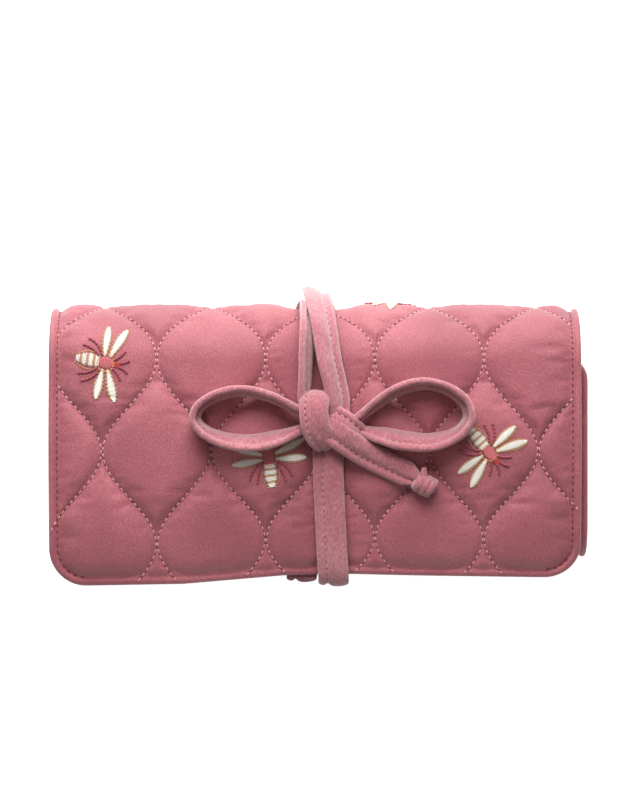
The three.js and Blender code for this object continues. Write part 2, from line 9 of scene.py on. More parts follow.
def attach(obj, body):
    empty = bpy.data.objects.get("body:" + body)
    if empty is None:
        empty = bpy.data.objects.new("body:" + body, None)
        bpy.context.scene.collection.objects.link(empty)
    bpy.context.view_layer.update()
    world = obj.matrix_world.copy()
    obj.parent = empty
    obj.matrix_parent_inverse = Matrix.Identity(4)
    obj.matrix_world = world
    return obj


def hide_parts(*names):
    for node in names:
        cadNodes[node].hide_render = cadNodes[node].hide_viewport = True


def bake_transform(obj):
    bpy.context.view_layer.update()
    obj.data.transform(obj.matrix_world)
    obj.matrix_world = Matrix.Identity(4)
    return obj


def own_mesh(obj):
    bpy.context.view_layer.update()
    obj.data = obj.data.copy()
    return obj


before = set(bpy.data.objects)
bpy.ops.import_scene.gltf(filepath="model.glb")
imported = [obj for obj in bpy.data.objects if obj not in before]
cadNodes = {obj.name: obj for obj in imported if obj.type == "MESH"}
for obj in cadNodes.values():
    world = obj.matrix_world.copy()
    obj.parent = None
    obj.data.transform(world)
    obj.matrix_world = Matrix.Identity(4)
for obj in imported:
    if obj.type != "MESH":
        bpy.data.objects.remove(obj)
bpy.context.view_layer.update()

scene = bpy.context.scene
scene.view_settings.view_transform = "Standard"
mm = 0.001  # pieces are planned in millimetres, the scene is in metres
up = Vector((0, 0, 1))


# a socket that takes part in sums
class Wire:
    def __init__(self, finish, socket):
        self.finish, self.socket = finish, socket

    def sums(self, operation, first, second):
        return self.finish.node("Math", {"operation": operation}, {0: first, 1: second})

    def __add__(self, other):
        return self.sums("ADD", self, other)

    def __radd__(self, other):
        return self.sums("ADD", other, self)

    def __mul__(self, other):
        return self.sums("MULTIPLY", self, other)

    def __rmul__(self, other):
        return self.sums("MULTIPLY", other, self)


# the nodes of one material or of the world
class Finish:
    def __init__(self, name, owner=None):
        self.owner = owner or bpy.data.materials.new(name)
        self.owner.use_nodes = True
        self.tree = self.owner.node_tree
        self.shader = self.tree.nodes.get("Principled BSDF")

    def node(self, kind, settings=None, sockets=None, out=0):
        made = self.tree.nodes.new("ShaderNode" + kind)
        for key, value in (settings or {}).items():
            if key == "stops":
                self.setStops(made.color_ramp.elements, value)
            else:
                setattr(made, key, value)
        for key, value in (sockets or {}).items():
            self.join(made.inputs[key], value)
        return Wire(self, made.outputs[out])

    def setStops(self, spots, stops):
        for number, (place, shade) in enumerate(stops):
            spot = spots[number] if number < 2 else spots.new(place)
            spot.position, spot.color = place, shade

    def join(self, socket, value):
        if isinstance(value, Wire):
            self.tree.links.new(value.socket, socket)
        else:
            socket.default_value = value

    def set(self, **sockets):
        for key, value in sockets.items():
            self.join(self.shader.inputs[key.replace("_", " ")], value)

    def place(self):
        return self.node("TexCoord", out="Object")

    def grain(self, scale, detail=2.0, rough=0.5, at=None):
        sockets = {"Vector": at or self.place(), "Scale": scale, "Detail": detail, "Roughness": rough}
        return self.node("TexNoise", {}, sockets, "Fac")

    def bands(self, direction, scale):
        sockets = {"Vector": self.place(), "Scale": scale, "Distortion": 0.6, "Detail": 1}
        return self.node("TexWave", {"bands_direction": direction}, sockets, "Fac")

    def tint(self, share, first, second):
        return self.node("Mix", {"data_type": "RGBA"}, {0: share, 6: first, 7: second}, 2)

    def relief(self, height, strength, depth):
        return self.node("Bump", {}, {"Height": height, "Strength": strength, "Distance": depth}, "Normal")

    def straight(self):  # one for what the camera sees at once or in a reflection
        return self.node("LightPath", out="Is Camera Ray") + self.node("LightPath", out="Is Glossy Ray")


# grain scales are one over metres
velvetLook = {
    "quilt": {
        "deep": (0.220, 0.033, 0.049, 1), "mid": (0.313, 0.058, 0.079, 1), "pale": (0.439, 0.111, 0.135, 1),
        "nap": 1700, "relief": 0.00034, "sheen": 0.25, "shine": 0.7, "rough": 0.55,
    },
    "tape": {
        "deep": (0.330, 0.082, 0.104, 1), "mid": (0.446, 0.132, 0.158, 1), "pale": (0.610, 0.238, 0.262, 1),
        "nap": 1050, "relief": 0.0006, "sheen": 0.72, "shine": 0.12, "rough": 0.72,
    },
    "sheenTint": (0.93, 0.97, 0.96, 1), "sheenRough": 0.60, "crush": 27, "pile": 3400,
    "comb": (1.0, 0.64, 0.8), "lean": 0.75,  # the nap lies slantwise
    "crushShare": 0.34, "napShare": 0.40, "pileShare": 0.26,  # of each in the colour
    "deepAt": 0.38, "midAt": 0.50, "paleAt": 0.62,
    "napRough": 0.2, "pileRelief": 0.6, "strength": 0.7,
}


def makeVelvet(name, look):
    made = Finish(name)
    turned = {"Vector": made.place(), "Scale": velvetLook["comb"], "Rotation": (0, 0, velvetLook["lean"])}
    crush = made.grain(velvetLook["crush"], 3, 0.5)
    nap = made.grain(look["nap"], 2, 0.55, made.node("Mapping", {}, turned))
    pile = made.grain(velvetLook["pile"], 2, 0.6)
    lay = crush * velvetLook["crushShare"] + nap * velvetLook["napShare"] + pile * velvetLook["pileShare"]
    stops = [(velvetLook[key + "At"], look[key]) for key in ("deep", "pale", "mid")]
    height = pile * velvetLook["pileRelief"] + nap
    made.set(Base_Color=made.node("ValToRGB", {"stops": stops}, {"Fac": lay}, "Color"))
    made.set(Roughness=look["rough"] + nap * velvetLook["napRough"])
    made.set(Normal=made.relief(height, velvetLook["strength"], look["relief"]))
    made.set(Sheen_Weight=look["sheen"], Sheen_Roughness=velvetLook["sheenRough"])
    made.set(Sheen_Tint=velvetLook["sheenTint"], Specular_IOR_Level=look["shine"])
    return made.owner


clothLook = {
    "lining": {"warp": (0.62, 0.345, 0.345, 1), "weft": (0.50, 0.245, 0.252, 1), "threads": 560, "slub": 90},
    "zip": {"warp": (0.50, 0.19, 0.22, 1), "weft": (0.40, 0.13, 0.155, 1), "threads": 420, "slub": 200},
    "weftScale": 0.9, "weaveShare": 0.6, "slubShare": 0.4, "slubRelief": 0.5, "slubRough": 0.22,
    "rough": 0.52, "strength": 0.35, "relief": 0.00018, "sheen": 0.12, "sheenRough": 0.4, "shine": 0.3,
}


def makeWoven(name, look):
    made = Finish(name)
    warp = made.bands("X", look["threads"])
    weft = made.bands("Y", look["threads"] * clothLook["weftScale"])
    slub = made.grain(look["slub"], 3, 0.6)
    weave = warp * 0.5 + weft * 0.5
    share = weave * clothLook["weaveShare"] + slub * clothLook["slubShare"]
    height = weave + slub * clothLook["slubRelief"]
    made.set(Base_Color=made.tint(share, look["weft"], look["warp"]))
    made.set(Roughness=clothLook["rough"] + slub * clothLook["slubRough"])
    made.set(Normal=made.relief(height, clothLook["strength"], clothLook["relief"]))
    made.set(Sheen_Weight=clothLook["sheen"], Sheen_Roughness=clothLook["sheenRough"])
    made.set(Specular_IOR_Level=clothLook["shine"])
    return made.owner


threadLook = {  # bright and dull side of each
    "sewing": ((0.72, 0.40, 0.41, 1), (0.55, 0.25, 0.265, 1)),
    # painted shade: this near-black thread stands in for the shade between stitches and in the drawn-in edge
    # seam
    "paintedShade": ((0.15, 0.020, 0.032, 1), (0.10, 0.012, 0.020, 1)),
    "cream": ((0.95, 0.92, 0.85, 1), (0.87, 0.82, 0.73, 1)),
    "gold": ((0.74, 0.50, 0.15, 1), (0.40, 0.22, 0.05, 1)),
    "tan": ((0.60, 0.39, 0.24, 1), (0.48, 0.29, 0.17, 1)),
    "coral": ((0.68, 0.20, 0.21, 1), (0.56, 0.14, 0.155, 1)),
    "scarlet": ((0.60, 0.07, 0.04, 1), (0.42, 0.04, 0.03, 1)),
    "wine": ((0.36, 0.062, 0.092, 1), (0.27, 0.040, 0.062, 1)),
}
threadFinish = {
    "ply": 3600, "strand": 900, "rough": 0.42, "strandRough": 0.2, "strength": 0.3, "relief": 0.00012,
    "sheen": 0.1, "shine": 0.4,
}


def makeThread(name, pair):
    made = Finish(name)
    ply, strand = (made.grain(threadFinish[key], 2, 0.5) for key in ("ply", "strand"))
    made.set(Base_Color=made.tint(ply * 0.5 + strand * 0.5, pair[1], pair[0]))
    made.set(Roughness=threadFinish["rough"] + strand * threadFinish["strandRough"])
    made.set(Normal=made.relief(ply, threadFinish["strength"], threadFinish["relief"]))
    made.set(Sheen_Weight=threadFinish["sheen"], Specular_IOR_Level=threadFinish["shine"])
    return made.owner


brassLook = {
    "bright": (0.80, 0.58, 0.30, 1), "dull": (0.58, 0.38, 0.17, 1), "wear": 260, "scratch": 1900,
    "rough": 0.16, "wearRough": 0.2, "scratchRough": 0.08, "strength": 0.06, "relief": 0.0001,
}


def makeBrass(name, look):
    made = Finish(name)
    wear = made.grain(look["wear"], 4, 0.6)
    scratch = made.grain(look["scratch"], 2, 0.6)
    made.set(Base_Color=made.tint(wear, look["dull"], look["bright"]), Metallic=1.0)
    made.set(Roughness=look["rough"] + wear * look["wearRough"] + scratch * look["scratchRough"])
    made.set(Normal=made.relief(scratch, look["strength"], look["relief"]))
    return made.owner


quiltVelvet = makeVelvet("roseQuiltVelvet", velvetLook["quilt"])
tapeVelvet = makeVelvet("roseTapeVelvet", velvetLook["tape"])
liningCloth = makeWoven("blushLining", clothLook["lining"])
zipCloth = makeWoven("roseZipTape", clothLook["zip"])
threads = {key: makeThread(key + "Thread", pair) for key, pair in threadLook.items()}
brass = makeBrass("wornBrass", brassLook)
print("finishes made")


def newPiece(name, bm, materials):
    for face in bm.faces:
        face.smooth = True
    mesh = bpy.data.meshes.new(name)
    bm.to_mesh(mesh)
    bm.free()
    for material in materials:
        mesh.materials.append(material)
    piece = bpy.data.objects.new(name, mesh)
    scene.collection.objects.link(piece)
    return piece


# the plain stage, in metres: camera over the roll, white ground, soft light from the top of the picture
cameraPlan = {
    "over": (0.0006, 0.0162), "top": 0.048, "distance": 1.3, "frameTall": 0.3295, "clip": (0.05, 40),
}
lampPlans = {  # the nap lamp is low, so that the pile catches it
    "keyLamp": {"at": (-0.05, 0.86, 0.92), "to": (0, 0.0, 0.03), "size": (0.75, 0.6), "power": 18.5},
    "napLamp": {"at": (0, 0.40, 0.16), "to": (0, 0.02, 0.045), "size": (0.60, 0.11), "power": 1.6},
    "fillLamp": {"at": (-0.35, -0.10, 0.85), "to": (0, 0, 0.03), "size": (0.70, 0.70), "power": 0.7},
    "frontLamp": {"at": (0.08, -0.70, 0.15), "to": (0, -0.06, 0.02), "size": (0.60, 0.14), "power": 0.5},
}
stagePlan = {
    "ground": (0.90, 0.895, 0.89, 1), "groundPale": (0.93, 0.93, 0.925, 1), "fibre": 40,
    "glow": 0.86, "ambient": 0.13, "half": 4, "below": 0.0003,
}


def setCamera(plan):
    eye = bpy.data.cameras.new("photoCamera")
    eye.lens = eye.sensor_width * plan["distance"] / plan["frameTall"]
    eye.clip_start, eye.clip_end = plan["clip"]
    camera = bpy.data.objects.new("photoCamera", eye)
    camera.location = (*plan["over"], plan["top"] + plan["distance"])
    scene.collection.objects.link(camera)
    scene.camera = camera


def hangLamp(name, plan):
    lamp = bpy.data.lights.new(name, "AREA")
    lamp.shape, lamp.energy = "RECTANGLE", plan["power"]
    lamp.size, lamp.size_y = plan["size"]
    holder = bpy.data.objects.new(name, lamp)
    holder.location = plan["at"]
    holder.rotation_euler = (Vector(plan["to"]) - Vector(plan["at"])).to_track_quat("-Z", "Y").to_euler()
    scene.collection.objects.link(holder)


def setRoom(plan):
    scene.world = bpy.data.worlds.new("paleRoom")
    room = Finish("paleRoom", scene.world)
    backing = room.tree.nodes["Background"]
    room.join(backing.inputs["Color"], (1, 1, 1, 1))
    room.join(backing.inputs["Strength"], room.straight() * (1 - plan["ambient"]) + plan["ambient"])
    paper = Finish("paleGround")
    fibre = paper.grain(plan["fibre"], 2)
    paper.set(Base_Color=paper.tint(fibre, plan["ground"], plan["groundPale"]), Roughness=0.9)
    plain = Wire(paper, paper.shader.outputs[0])
    glow = paper.node("Emission", {}, {"Color": (1, 1, 1, 1), "Strength": plan["glow"]})
    both = paper.node("AddShader", {}, {0: plain, 1: glow})
    shown = paper.node("MixShader", {}, {0: paper.straight(), 1: plain, 2: both})
    paper.join(paper.tree.nodes["Material Output"].inputs["Surface"], shown)
    bm = bmesh.new()
    level = Matrix.Translation(up * -plan["below"])
    bmesh.ops.create_grid(bm, x_segments=4, y_segments=4, size=plan["half"], matrix=level)
    newPiece("ground", bm, [paper.owner])


setCamera(cameraPlan)
for name, plan in lampPlans.items():
    hangLamp(name, plan)
setRoom(stagePlan)
print("stage set")


def clip(value):
    return min(1.0, max(0.0, value))


def ease(low, high, value):
    share = clip((value - low) / (high - low))
    return share * share * (3 - 2 * share)


def between(stops, value):
    for (fromAt, fromValue), (toAt, toValue) in zip(stops, stops[1:]):
        if value <= toAt:
            return fromValue + (toValue - fromValue) * clip((value - fromAt) / (toAt - fromAt))
    return stops[-1][1]


def steps(low, high, pitch, more=()):
    count = max(1, round((high - low) / pitch))
    return sorted(set([low + (high - low) * k / count for k in range(count + 1)] + list(more)))


def uneven(size, *at):
    return noise.noise(Vector([part / size for part in at[:2]] + [at[2]]))


def gridOf(bm, across, along, material=0):
    made = bmesh.ops.create_grid(bm, x_segments=across, y_segments=along, size=1)["verts"]
    rows = [[None] * (across + 1) for _ in range(along + 1)]
    for vert in made:
        rows[round((vert.co.y + 1) / 2 * along)][round((vert.co.x + 1) / 2 * across)] = vert
        for face in vert.link_faces:
            face.material_index = material
    return rows


def joinInto(bm, part):
    spare = bpy.data.meshes.new("spare")
    part.to_mesh(spare)
    part.free()
    bm.from_mesh(spare)
    bpy.data.meshes.remove(spare)


tubeWeld = 0.00001  # metres, joins a tube's first and last column


def closeTube(bm):
    bmesh.ops.remove_doubles(bm, verts=bm.verts, dist=tubeWeld)
    bmesh.ops.edgeloop_fill(bm, edges=[edge for edge in bm.edges if edge.is_boundary])
    bmesh.ops.recalc_face_normals(bm, faces=bm.faces)


threadBatch = 12  # small batches keep the operator quick


# each thread is a grain: first end, last end, thickness, material
def layThreads(bm, grains, sides=6, rings=4):
    for start in range(0, len(grains), threadBatch):
        part = bmesh.new()
        for first, last, thick, material in grains[start:start + threadBatch]:
            along = last - first
            turn = along.to_track_quat("Z", "Y").to_matrix().to_4x4()
            lie = Matrix.Translation((first + last) / 2) @ turn
            lie = lie @ Matrix.Diagonal((thick, thick, along.length / 2, 1))
            made = bmesh.ops.create_uvsphere(part, u_segments=sides, v_segments=rings, radius=1, matrix=lie)
            for face in {face for vert in made["verts"] for face in vert.link_faces}:
                face.material_index = material
        joinInto(bm, part)


def threadPiece(name, grains, kinds=("sewing", "paintedShade"), sides=6, rings=4):
    bm = bmesh.new()
    layThreads(bm, grains, sides, rings)
    return newPiece(name, bm, [threads[kind] for kind in kinds])


# a piece goes with its one body; a piece between two bodies only has its placing baked into its mesh
def fasten(piece, plan, nodes=()):
    if len(plan["bodies"]) == 2:
        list(plan["bodies"])
        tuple(plan["turnFrom"])
        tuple(plan["turnTo"])
        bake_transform(piece)
    else:
        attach(piece, *plan["bodies"])
    if nodes:
        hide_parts(*nodes)


# s runs along the cloth from the flap's free edge over the top, down the back and up to the lower tip
rollSizes = {
    "half": 110, "flapEdge": -59.2, "flapTop": 48.3, "thick": 7.9, "topR": 24.15, "topY": 32.05,
    "bottomR": 16.8, "bottomY": -34.7, "lowerTop": 33.6, "tip": 34.5, "flapCorner": 15, "tipCorner": 10,
    "flapShift": -1.5, "lowerShift": 2.4, "shiftFrom": 70, "shiftTo": 201,  # the flap lies more to the left
    "crown": 1.4, "crownY": -1, "crownHalf": 33, "droop": 6.2, "droopFrom": -20, "pullFrom": 12,
    "ground": 0.45,
}
topY, topR, bottomY, bottomR = (rollSizes[key] for key in ("topY", "topR", "bottomY", "bottomR"))
foldStart = topY
backStart = foldStart + math.pi * topR
lowFoldStart = backStart + topY - bottomY
lowerStart = lowFoldStart + math.pi * bottomR
tipEnd = lowerStart + rollSizes["tip"] - bottomY
cutTop = foldStart + math.pi * topR / 2
cutBack = (backStart + lowFoldStart) / 2
cutBottom = lowFoldStart + math.pi * bottomR / 2


def flapBow(y):
    away = min(1, max(-1, (y - rollSizes["crownY"]) / rollSizes["crownHalf"]))
    fall = max(0.0, (rollSizes["droopFrom"] - y) / (rollSizes["droopFrom"] - rollSizes["flapEdge"]))
    return rollSizes["crown"] / 2 * (1 + math.cos(math.pi * away)) - rollSizes["droop"] * fall * fall


# the tie draws the middle of the free edge up: x, rise
flapPull = [(-110, -1.7), (-95, -1.6), (-56, -0.9), (-15, 2.6), (6, 3.4), (40, 2.6), (90, 1.9), (110, 1.8)]


def flapY(x, s):
    share = clip((rollSizes["pullFrom"] - s) / (rollSizes["pullFrom"] - rollSizes["flapEdge"]))
    return s + between(flapPull, x) * share * share


def rollPlace(x, s, depth):
    if s <= foldStart:
        y, z = flapY(x, s), rollSizes["flapTop"] + flapBow(s) - depth
    elif s <= backStart:
        angle = math.pi / 2 - (s - foldStart) / topR
        y, z = topY + (topR - depth) * math.cos(angle), topR + (topR - depth) * math.sin(angle)
    elif s <= lowFoldStart:
        y, z = topY - (s - backStart), depth
    elif s <= lowerStart:
        angle = -math.pi / 2 - (s - lowFoldStart) / bottomR
        y, z = bottomY + (bottomR - depth) * math.cos(angle), bottomR + (bottomR - depth) * math.sin(angle)
    else:
        y, z = bottomY + s - lowerStart, rollSizes["lowerTop"] - depth
    return Vector((x, y, max(z, rollSizes["ground"]))) * mm


def sideShift(s):
    ends = (("shiftFrom", "flapShift"), ("shiftTo", "lowerShift"))
    return between([(rollSizes[at], rollSizes[shift]) for at, shift in ends], s)


quiltSizes = {
    "pitch": 22.5, "period": 75, "sway": 10.95, "firstX": 11.95, "firstS": 32.4, "dome": 1.22,
    "lines": range(-5, 5), "lineMargin": 0.9, "channel": [(24, 2.9), (56, 1.9), (84, 1.9), (112, 2.8)],
    "plump": 0.46, "fullCell": 25, "uneven": 0.35, "unevenSize": 13, "seamFade": 6,
    "lip": 3.4, "rim": 0.35, "rimDepth": 3.3, "lipTop": 1.7,
    "groove": 3.4, "freeGroove": 2.4, "grooveTurn": 12, "grooveFade": (40, 20),
    "lipUnder": 4.8, "seamUnder": 4.5, "underFade": 9, "billow": 0.22, "billowSize": 17, "dentInSeam": 0.35,
    "rowStep": 1.1, "bandSteps": 22, "sideSteps": 7, "evenShare": 0.55, "cornerKeep": 7,
    "edgeSteps": [0, 0.08, 0.3, 0.65, 1.1, 1.7, 2.3, 2.9], "fill": 0.7, "weld": 0.00002,
}


def stitchLine(line, s):
    half = 2 * (s - quiltSizes["firstS"]) / quiltSizes["period"]
    if 0 < half < 1:  # rounder where the cells turn over the top
        half = half ** quiltSizes["dome"]
    swing = quiltSizes["sway"] * math.cos(math.pi * half) * (1 if line % 2 == 0 else -1)
    return quiltSizes["firstX"] + quiltSizes["pitch"] * line + swing + sideShift(s) - rollSizes["flapShift"]


def quiltKnots(s):
    left, right = sideShift(s) - rollSizes["half"], sideShift(s) + rollSizes["half"]
    lip, margin = quiltSizes["lip"], quiltSizes["lip"] + quiltSizes["lineMargin"]
    lines = [min(right - margin, max(left + margin, stitchLine(line, s))) for line in quiltSizes["lines"]]
    return [left, left + lip, *lines, right - lip, right]


def nearEnd(s):  # how far the cloth's nearer end is, and its corner
    fromFlap, fromTip = s - rollSizes["flapEdge"], tipEnd - s
    return (fromFlap, rollSizes["flapCorner"]) if fromFlap < fromTip else (fromTip, rollSizes["tipCorner"])


def besideEdge(x, s):
    return rollSizes["half"] - abs(x - sideShift(s))


def edgeInset(x, s):
    beside, (ahead, corner) = besideEdge(x, s), nearEnd(s)
    if beside < corner and ahead < corner:
        return corner - math.hypot(corner - beside, corner - ahead)
    return min(beside, ahead)


# how far the tie presses the padding in: s, depth, middle, half width
tiePress = [
    (-59.2, 1.3, 6.3, 9), (-10, 1.5, 6.3, 10), (4, 2.4, 4, 16), (22, 2.8, 1, 15), (40, 3.0, 0.6, 16),
    (62, 1.8, 0.4, 15), (84, 2.4, 0, 15), (100, 3.6, 0, 16), (112, 3.6, 0, 17), (172, 3.6, 0, 17),
    (184, 2.0, 0, 16), (200, 0.8, 0, 15), (226, 0.8, 0, 15), (240, 0, 0, 15),
]
pressEdge = 3.4  # how sharply the dent ends at the tape's sides
backFlat = 12  # so far before the back the dent is no longer added to the cells


def tieDent(x, s):
    deep, middle, wide = (between([(row[0], row[part]) for row in tiePress], s) for part in (1, 2, 3))
    return deep * math.exp(-abs((x - middle) / wide) ** pressEdge)


# the seam is drawn in along the sides, and less along the flap's free edge
def edgeGroove(x, s):
    beside, ahead = besideEdge(x, s), s - rollSizes["flapEdge"]
    less = quiltSizes["groove"] - quiltSizes["freeGroove"]
    free = ease(0, quiltSizes["grooveTurn"], beside - ahead) * ease(*quiltSizes["grooveFade"], ahead)
    return quiltSizes["groove"] - less * free


def roundRim(share):
    return math.sqrt(1 - (1 - share / quiltSizes["rim"]) ** 2)


def drawnDepth(x, s):
    inset, lip, groove = edgeInset(x, s), quiltSizes["lip"], edgeGroove(x, s)
    if inset < lip:
        share, top = max(0.0, inset / lip), quiltSizes["lipTop"]
        if share < quiltSizes["rim"]:
            return quiltSizes["rimDepth"] + (top - quiltSizes["rimDepth"]) * roundRim(share)
        return top + (groove - top) * ease(0.55, 1, share)
    knots = quiltKnots(s)
    place = min(len(knots) - 2, max(1, bisect.bisect_right(knots, x) - 1))
    wide = knots[place + 1] - knots[place]
    share = clip((x - knots[place]) / max(wide, 0.01))
    full = min(1.0, math.sqrt(wide / quiltSizes["fullCell"]))
    puff = math.sin(math.pi * share) ** quiltSizes["plump"] * full
    depth = between(quiltSizes["channel"], s) * (1 - puff)
    depth -= quiltSizes["uneven"] * puff * uneven(quiltSizes["unevenSize"], x, s, 0.3)
    depth = groove + (depth - groove) * math.sqrt(ease(lip - 0.1, lip + quiltSizes["seamFade"], inset))
    if s < backStart - backFlat:
        inSeam = quiltSizes["dentInSeam"]
        return max(depth, 0.0) + tieDent(x, s) * (inSeam + (1 - inSeam) * puff)
    return max(depth, tieDent(x, s))


def liningDepth(x, s):
    inset, lip = edgeInset(x, s), quiltSizes["lip"]
    share, under, seam = max(0.0, inset / lip), quiltSizes["lipUnder"], quiltSizes["seamUnder"]
    if share < quiltSizes["rim"]:
        return quiltSizes["rimDepth"] + (under - quiltSizes["rimDepth"]) * roundRim(share)
    if share < 1:
        return under + (seam - under) * ease(0.5, 1, share)
    billow = quiltSizes["billow"] * uneven(quiltSizes["billowSize"], x, s, 4.1)
    return seam + (rollSizes["thick"] - seam + billow) * ease(lip - 0.5, lip + quiltSizes["underFade"], inset)


clothPlan = {
    "bigger": 10, "frames": 16, "heldLip": 0.3, "heldDent": 1.0,
    "most": [(38, 1.1), (56, 0.5), (86, 0.5), (104, 1.1)],  # s, how far a cell may swell
    "settings": {
        "quality": 5, "mass": 0.25, "tension_stiffness": 12, "compression_stiffness": 12,
        "shear_stiffness": 6, "bending_stiffness": 1.1, "vertex_group_mass": "stitched",
        "use_pressure": True, "uniform_pressure_force": 2.0, "shrink_min": -0.024,
    },
}


# flat quilt, held at its stitches, filled by pressure: gives back how deep each vertex ends
def fillQuilt(name, flat, held):
    big = clothPlan["bigger"]
    bm = bmesh.new()
    rows = gridOf(bm, len(flat[0]) - 1, len(flat) - 1)
    for row, places in zip(rows, flat):
        for vert, (x, s, depth) in zip(row, places):
            vert.co = Vector((x, s, -depth)) * mm * big
    bm.verts.index_update()
    order = [[vert.index for vert in row] for row in rows]
    sample = newPiece(name + "Flat", bm, [])
    group = sample.vertex_groups.new(name="stitched")
    group.add([order[j][i] for j, i in held], 1.0, "REPLACE")
    cloth = sample.modifiers.new("filling", "CLOTH")
    for key, value in clothPlan["settings"].items():
        setattr(cloth.settings, key, value)
    cloth.settings.effector_weights.gravity = 0
    cloth.collision_settings.use_collision = False
    for number in range(1, clothPlan["frames"] + 1):
        scene.frame_set(number)
    shown = sample.evaluated_get(bpy.context.evaluated_depsgraph_get())
    heights = [vert.co.z / mm / big for vert in shown.data.vertices]
    deep = []
    for row, places in zip(order, flat):
        most = between(clothPlan["most"], places[0][1])
        rise = [-heights[number] - depth for number, (x, s, depth) in zip(row, places)]
        deep.append([place[2] + most * math.tanh(part / most) for part, place in zip(rise, places)])
    bpy.data.objects.remove(sample)
    scene.frame_set(1)
    return deep


quiltFields = {}


def quiltRows(start, end):
    insets = quiltSizes["edgeSteps"]
    rows = [start + step for step in insets] if start == rollSizes["flapEdge"] else [start]
    last = [end - step for step in reversed(insets)] if end == tipEnd else [end]
    count = max(2, round((last[0] - rows[-1]) / quiltSizes["rowStep"]))
    first = rows[-1]
    rows += [first + (last[0] - first) * step / count for step in range(1, count)]
    return rows + last


def quiltPlaces(s):
    knots, insets = quiltKnots(s), quiltSizes["edgeSteps"]
    places = [knots[0] + step for step in insets]
    bands, even = knots[1:-1], quiltSizes["evenShare"]
    for number, (first, last) in enumerate(zip(bands, bands[1:])):
        count = quiltSizes["sideSteps"] if number in (0, len(bands) - 2) else quiltSizes["bandSteps"]
        for step in range(count):
            share = step / count
            share = even * share + (1 - even) * (0.5 - 0.5 * math.cos(math.pi * share))
            places.append(first + (last - first) * share)
    places += [bands[-1]] + [knots[-1] - step for step in reversed(insets)]
    ahead, corner = nearEnd(s)
    if ahead < corner:  # the rounded corners draw in the outer columns only
        drawn = corner - math.sqrt(corner * corner - (corner - ahead) ** 2)
        half, middle = rollSizes["half"], sideShift(s)
        keep = half - corner - quiltSizes["cornerKeep"]
        for number, x in enumerate(places):
            out = abs(x - middle) - keep
            if out > 0:
                out *= (half - drawn - keep) / (half - keep)
                places[number] = middle + math.copysign(keep + out, x - middle)
    return places


def heldPlaces(flat):
    across, along, edge = len(flat[0]) - 1, len(flat) - 1, len(quiltSizes["edgeSteps"])
    first, band = edge + quiltSizes["sideSteps"], quiltSizes["bandSteps"]
    seams = {first + band * number for number in range(len(quiltSizes["lines"]))}
    lip = quiltSizes["lip"] + clothPlan["heldLip"]
    held = []
    for j, row in enumerate(flat):
        for i, (x, s, _) in enumerate(row):
            sewn = i <= edge or i >= across - edge or j in (0, along) or i in seams
            if sewn or edgeInset(x, s) < lip or tieDent(x, s) > clothPlan["heldDent"]:
                held.append((j, i))
    return held


def makeQuilt(plan):
    rows = quiltRows(plan["from"], plan["to"])
    flat = [[(x, s, drawnDepth(x, s)) for x in quiltPlaces(s)] for s in rows]
    across, along = len(flat[0]) - 1, len(rows) - 1
    deep = fillQuilt(plan["name"], flat, heldPlaces(flat))
    quiltFields[plan["name"]] = (rows, [[x for x, s, depth in row] for row in flat], deep)
    bm = bmesh.new()
    for verts, places, depths in zip(gridOf(bm, across, along), flat, deep):
        for vert, (x, s, _), depth in zip(verts, places, depths):
            vert.co = rollPlace(x, s, depth)
    for verts, places in zip(gridOf(bm, across, along, 1), flat):
        for vert, (x, s, _) in zip(verts, places):
            vert.co = rollPlace(x, s, liningDepth(x, s))
    rim = [vert for vert in bm.verts if vert.is_boundary]
    bmesh.ops.remove_doubles(bm, verts=rim, dist=quiltSizes["weld"])
    ends = [edge for edge in bm.edges if edge.is_boundary]
    bmesh.ops.edgeloop_fill(bm, edges=ends, mat_nr=1)
    for edge in ends:
        edge.smooth = False
    bmesh.ops.recalc_face_normals(bm, faces=bm.faces)
    piece = newPiece(plan["name"], bm, [quiltVelvet, liningCloth])
    fasten(piece, plan, plan["nodes"])
    print("quilted", plan["name"], across + 1, "by", along + 1)


def quiltDepth(name, x, s):
    rows, columns, deep = quiltFields[name]
    j = min(len(rows) - 2, max(0, bisect.bisect_right(rows, s) - 1))
    share = clip((s - rows[j]) / (rows[j + 1] - rows[j]))
    found = []
    for row in (j, j + 1):
        places = columns[row]
        i = min(len(places) - 2, max(0, bisect.bisect_right(places, x) - 1))
        part = clip((x - places[i]) / max(1e-6, places[i + 1] - places[i]))
        found.append(deep[row][i] + (deep[row][i + 1] - deep[row][i]) * part)
    return found[0] + (found[1] - found[0]) * share


def onQuilt(name, x, s, lift=0.0):
    return rollPlace(x, s, quiltDepth(name, x, s) - lift)


# the grains between the stitches are painted shade, in the near-black thread
stitchSizes = {
    "pitch": 2.7, "share": 0.66, "thick": 0.31, "holeShade": 0.27, "lift": 0.18, "seamSunk": 0.06,
    "edgeInset": 3.6, "freeEnd": 0.9, "sideEnd": 3.0, "lineSteps": 120, "edgeSteps": 40, "bendSteps": 8,
}


def sewAlong(grains, route, place, sizes=stitchSizes):
    marks, total = [0.0], 0.0
    for first, last in zip(route, route[1:]):
        total += math.dist(first, last)
        marks.append(total)

    def at(length):
        number = min(len(route) - 2, max(0, bisect.bisect_right(marks, length) - 1))
        share = (length - marks[number]) / max(1e-9, marks[number + 1] - marks[number])
        return place(*[a + (b - a) * share for a, b in zip(route[number], route[number + 1])])

    count = max(1, int(total / sizes["pitch"]))
    pitch, half = total / count, sizes["share"] / 2
    for number in range(count):
        start, end = at((number + 0.5 - half) * pitch), at((number + 0.5 + half) * pitch)
        grains.append((start, end, sizes["thick"] * mm, 0))
        if number:  # painted shade: a short near-black grain between two stitches, where the thread goes through the cloth
            grains.append((at((number - 0.5 + half) * pitch), start, sizes["holeShade"] * mm, 1))


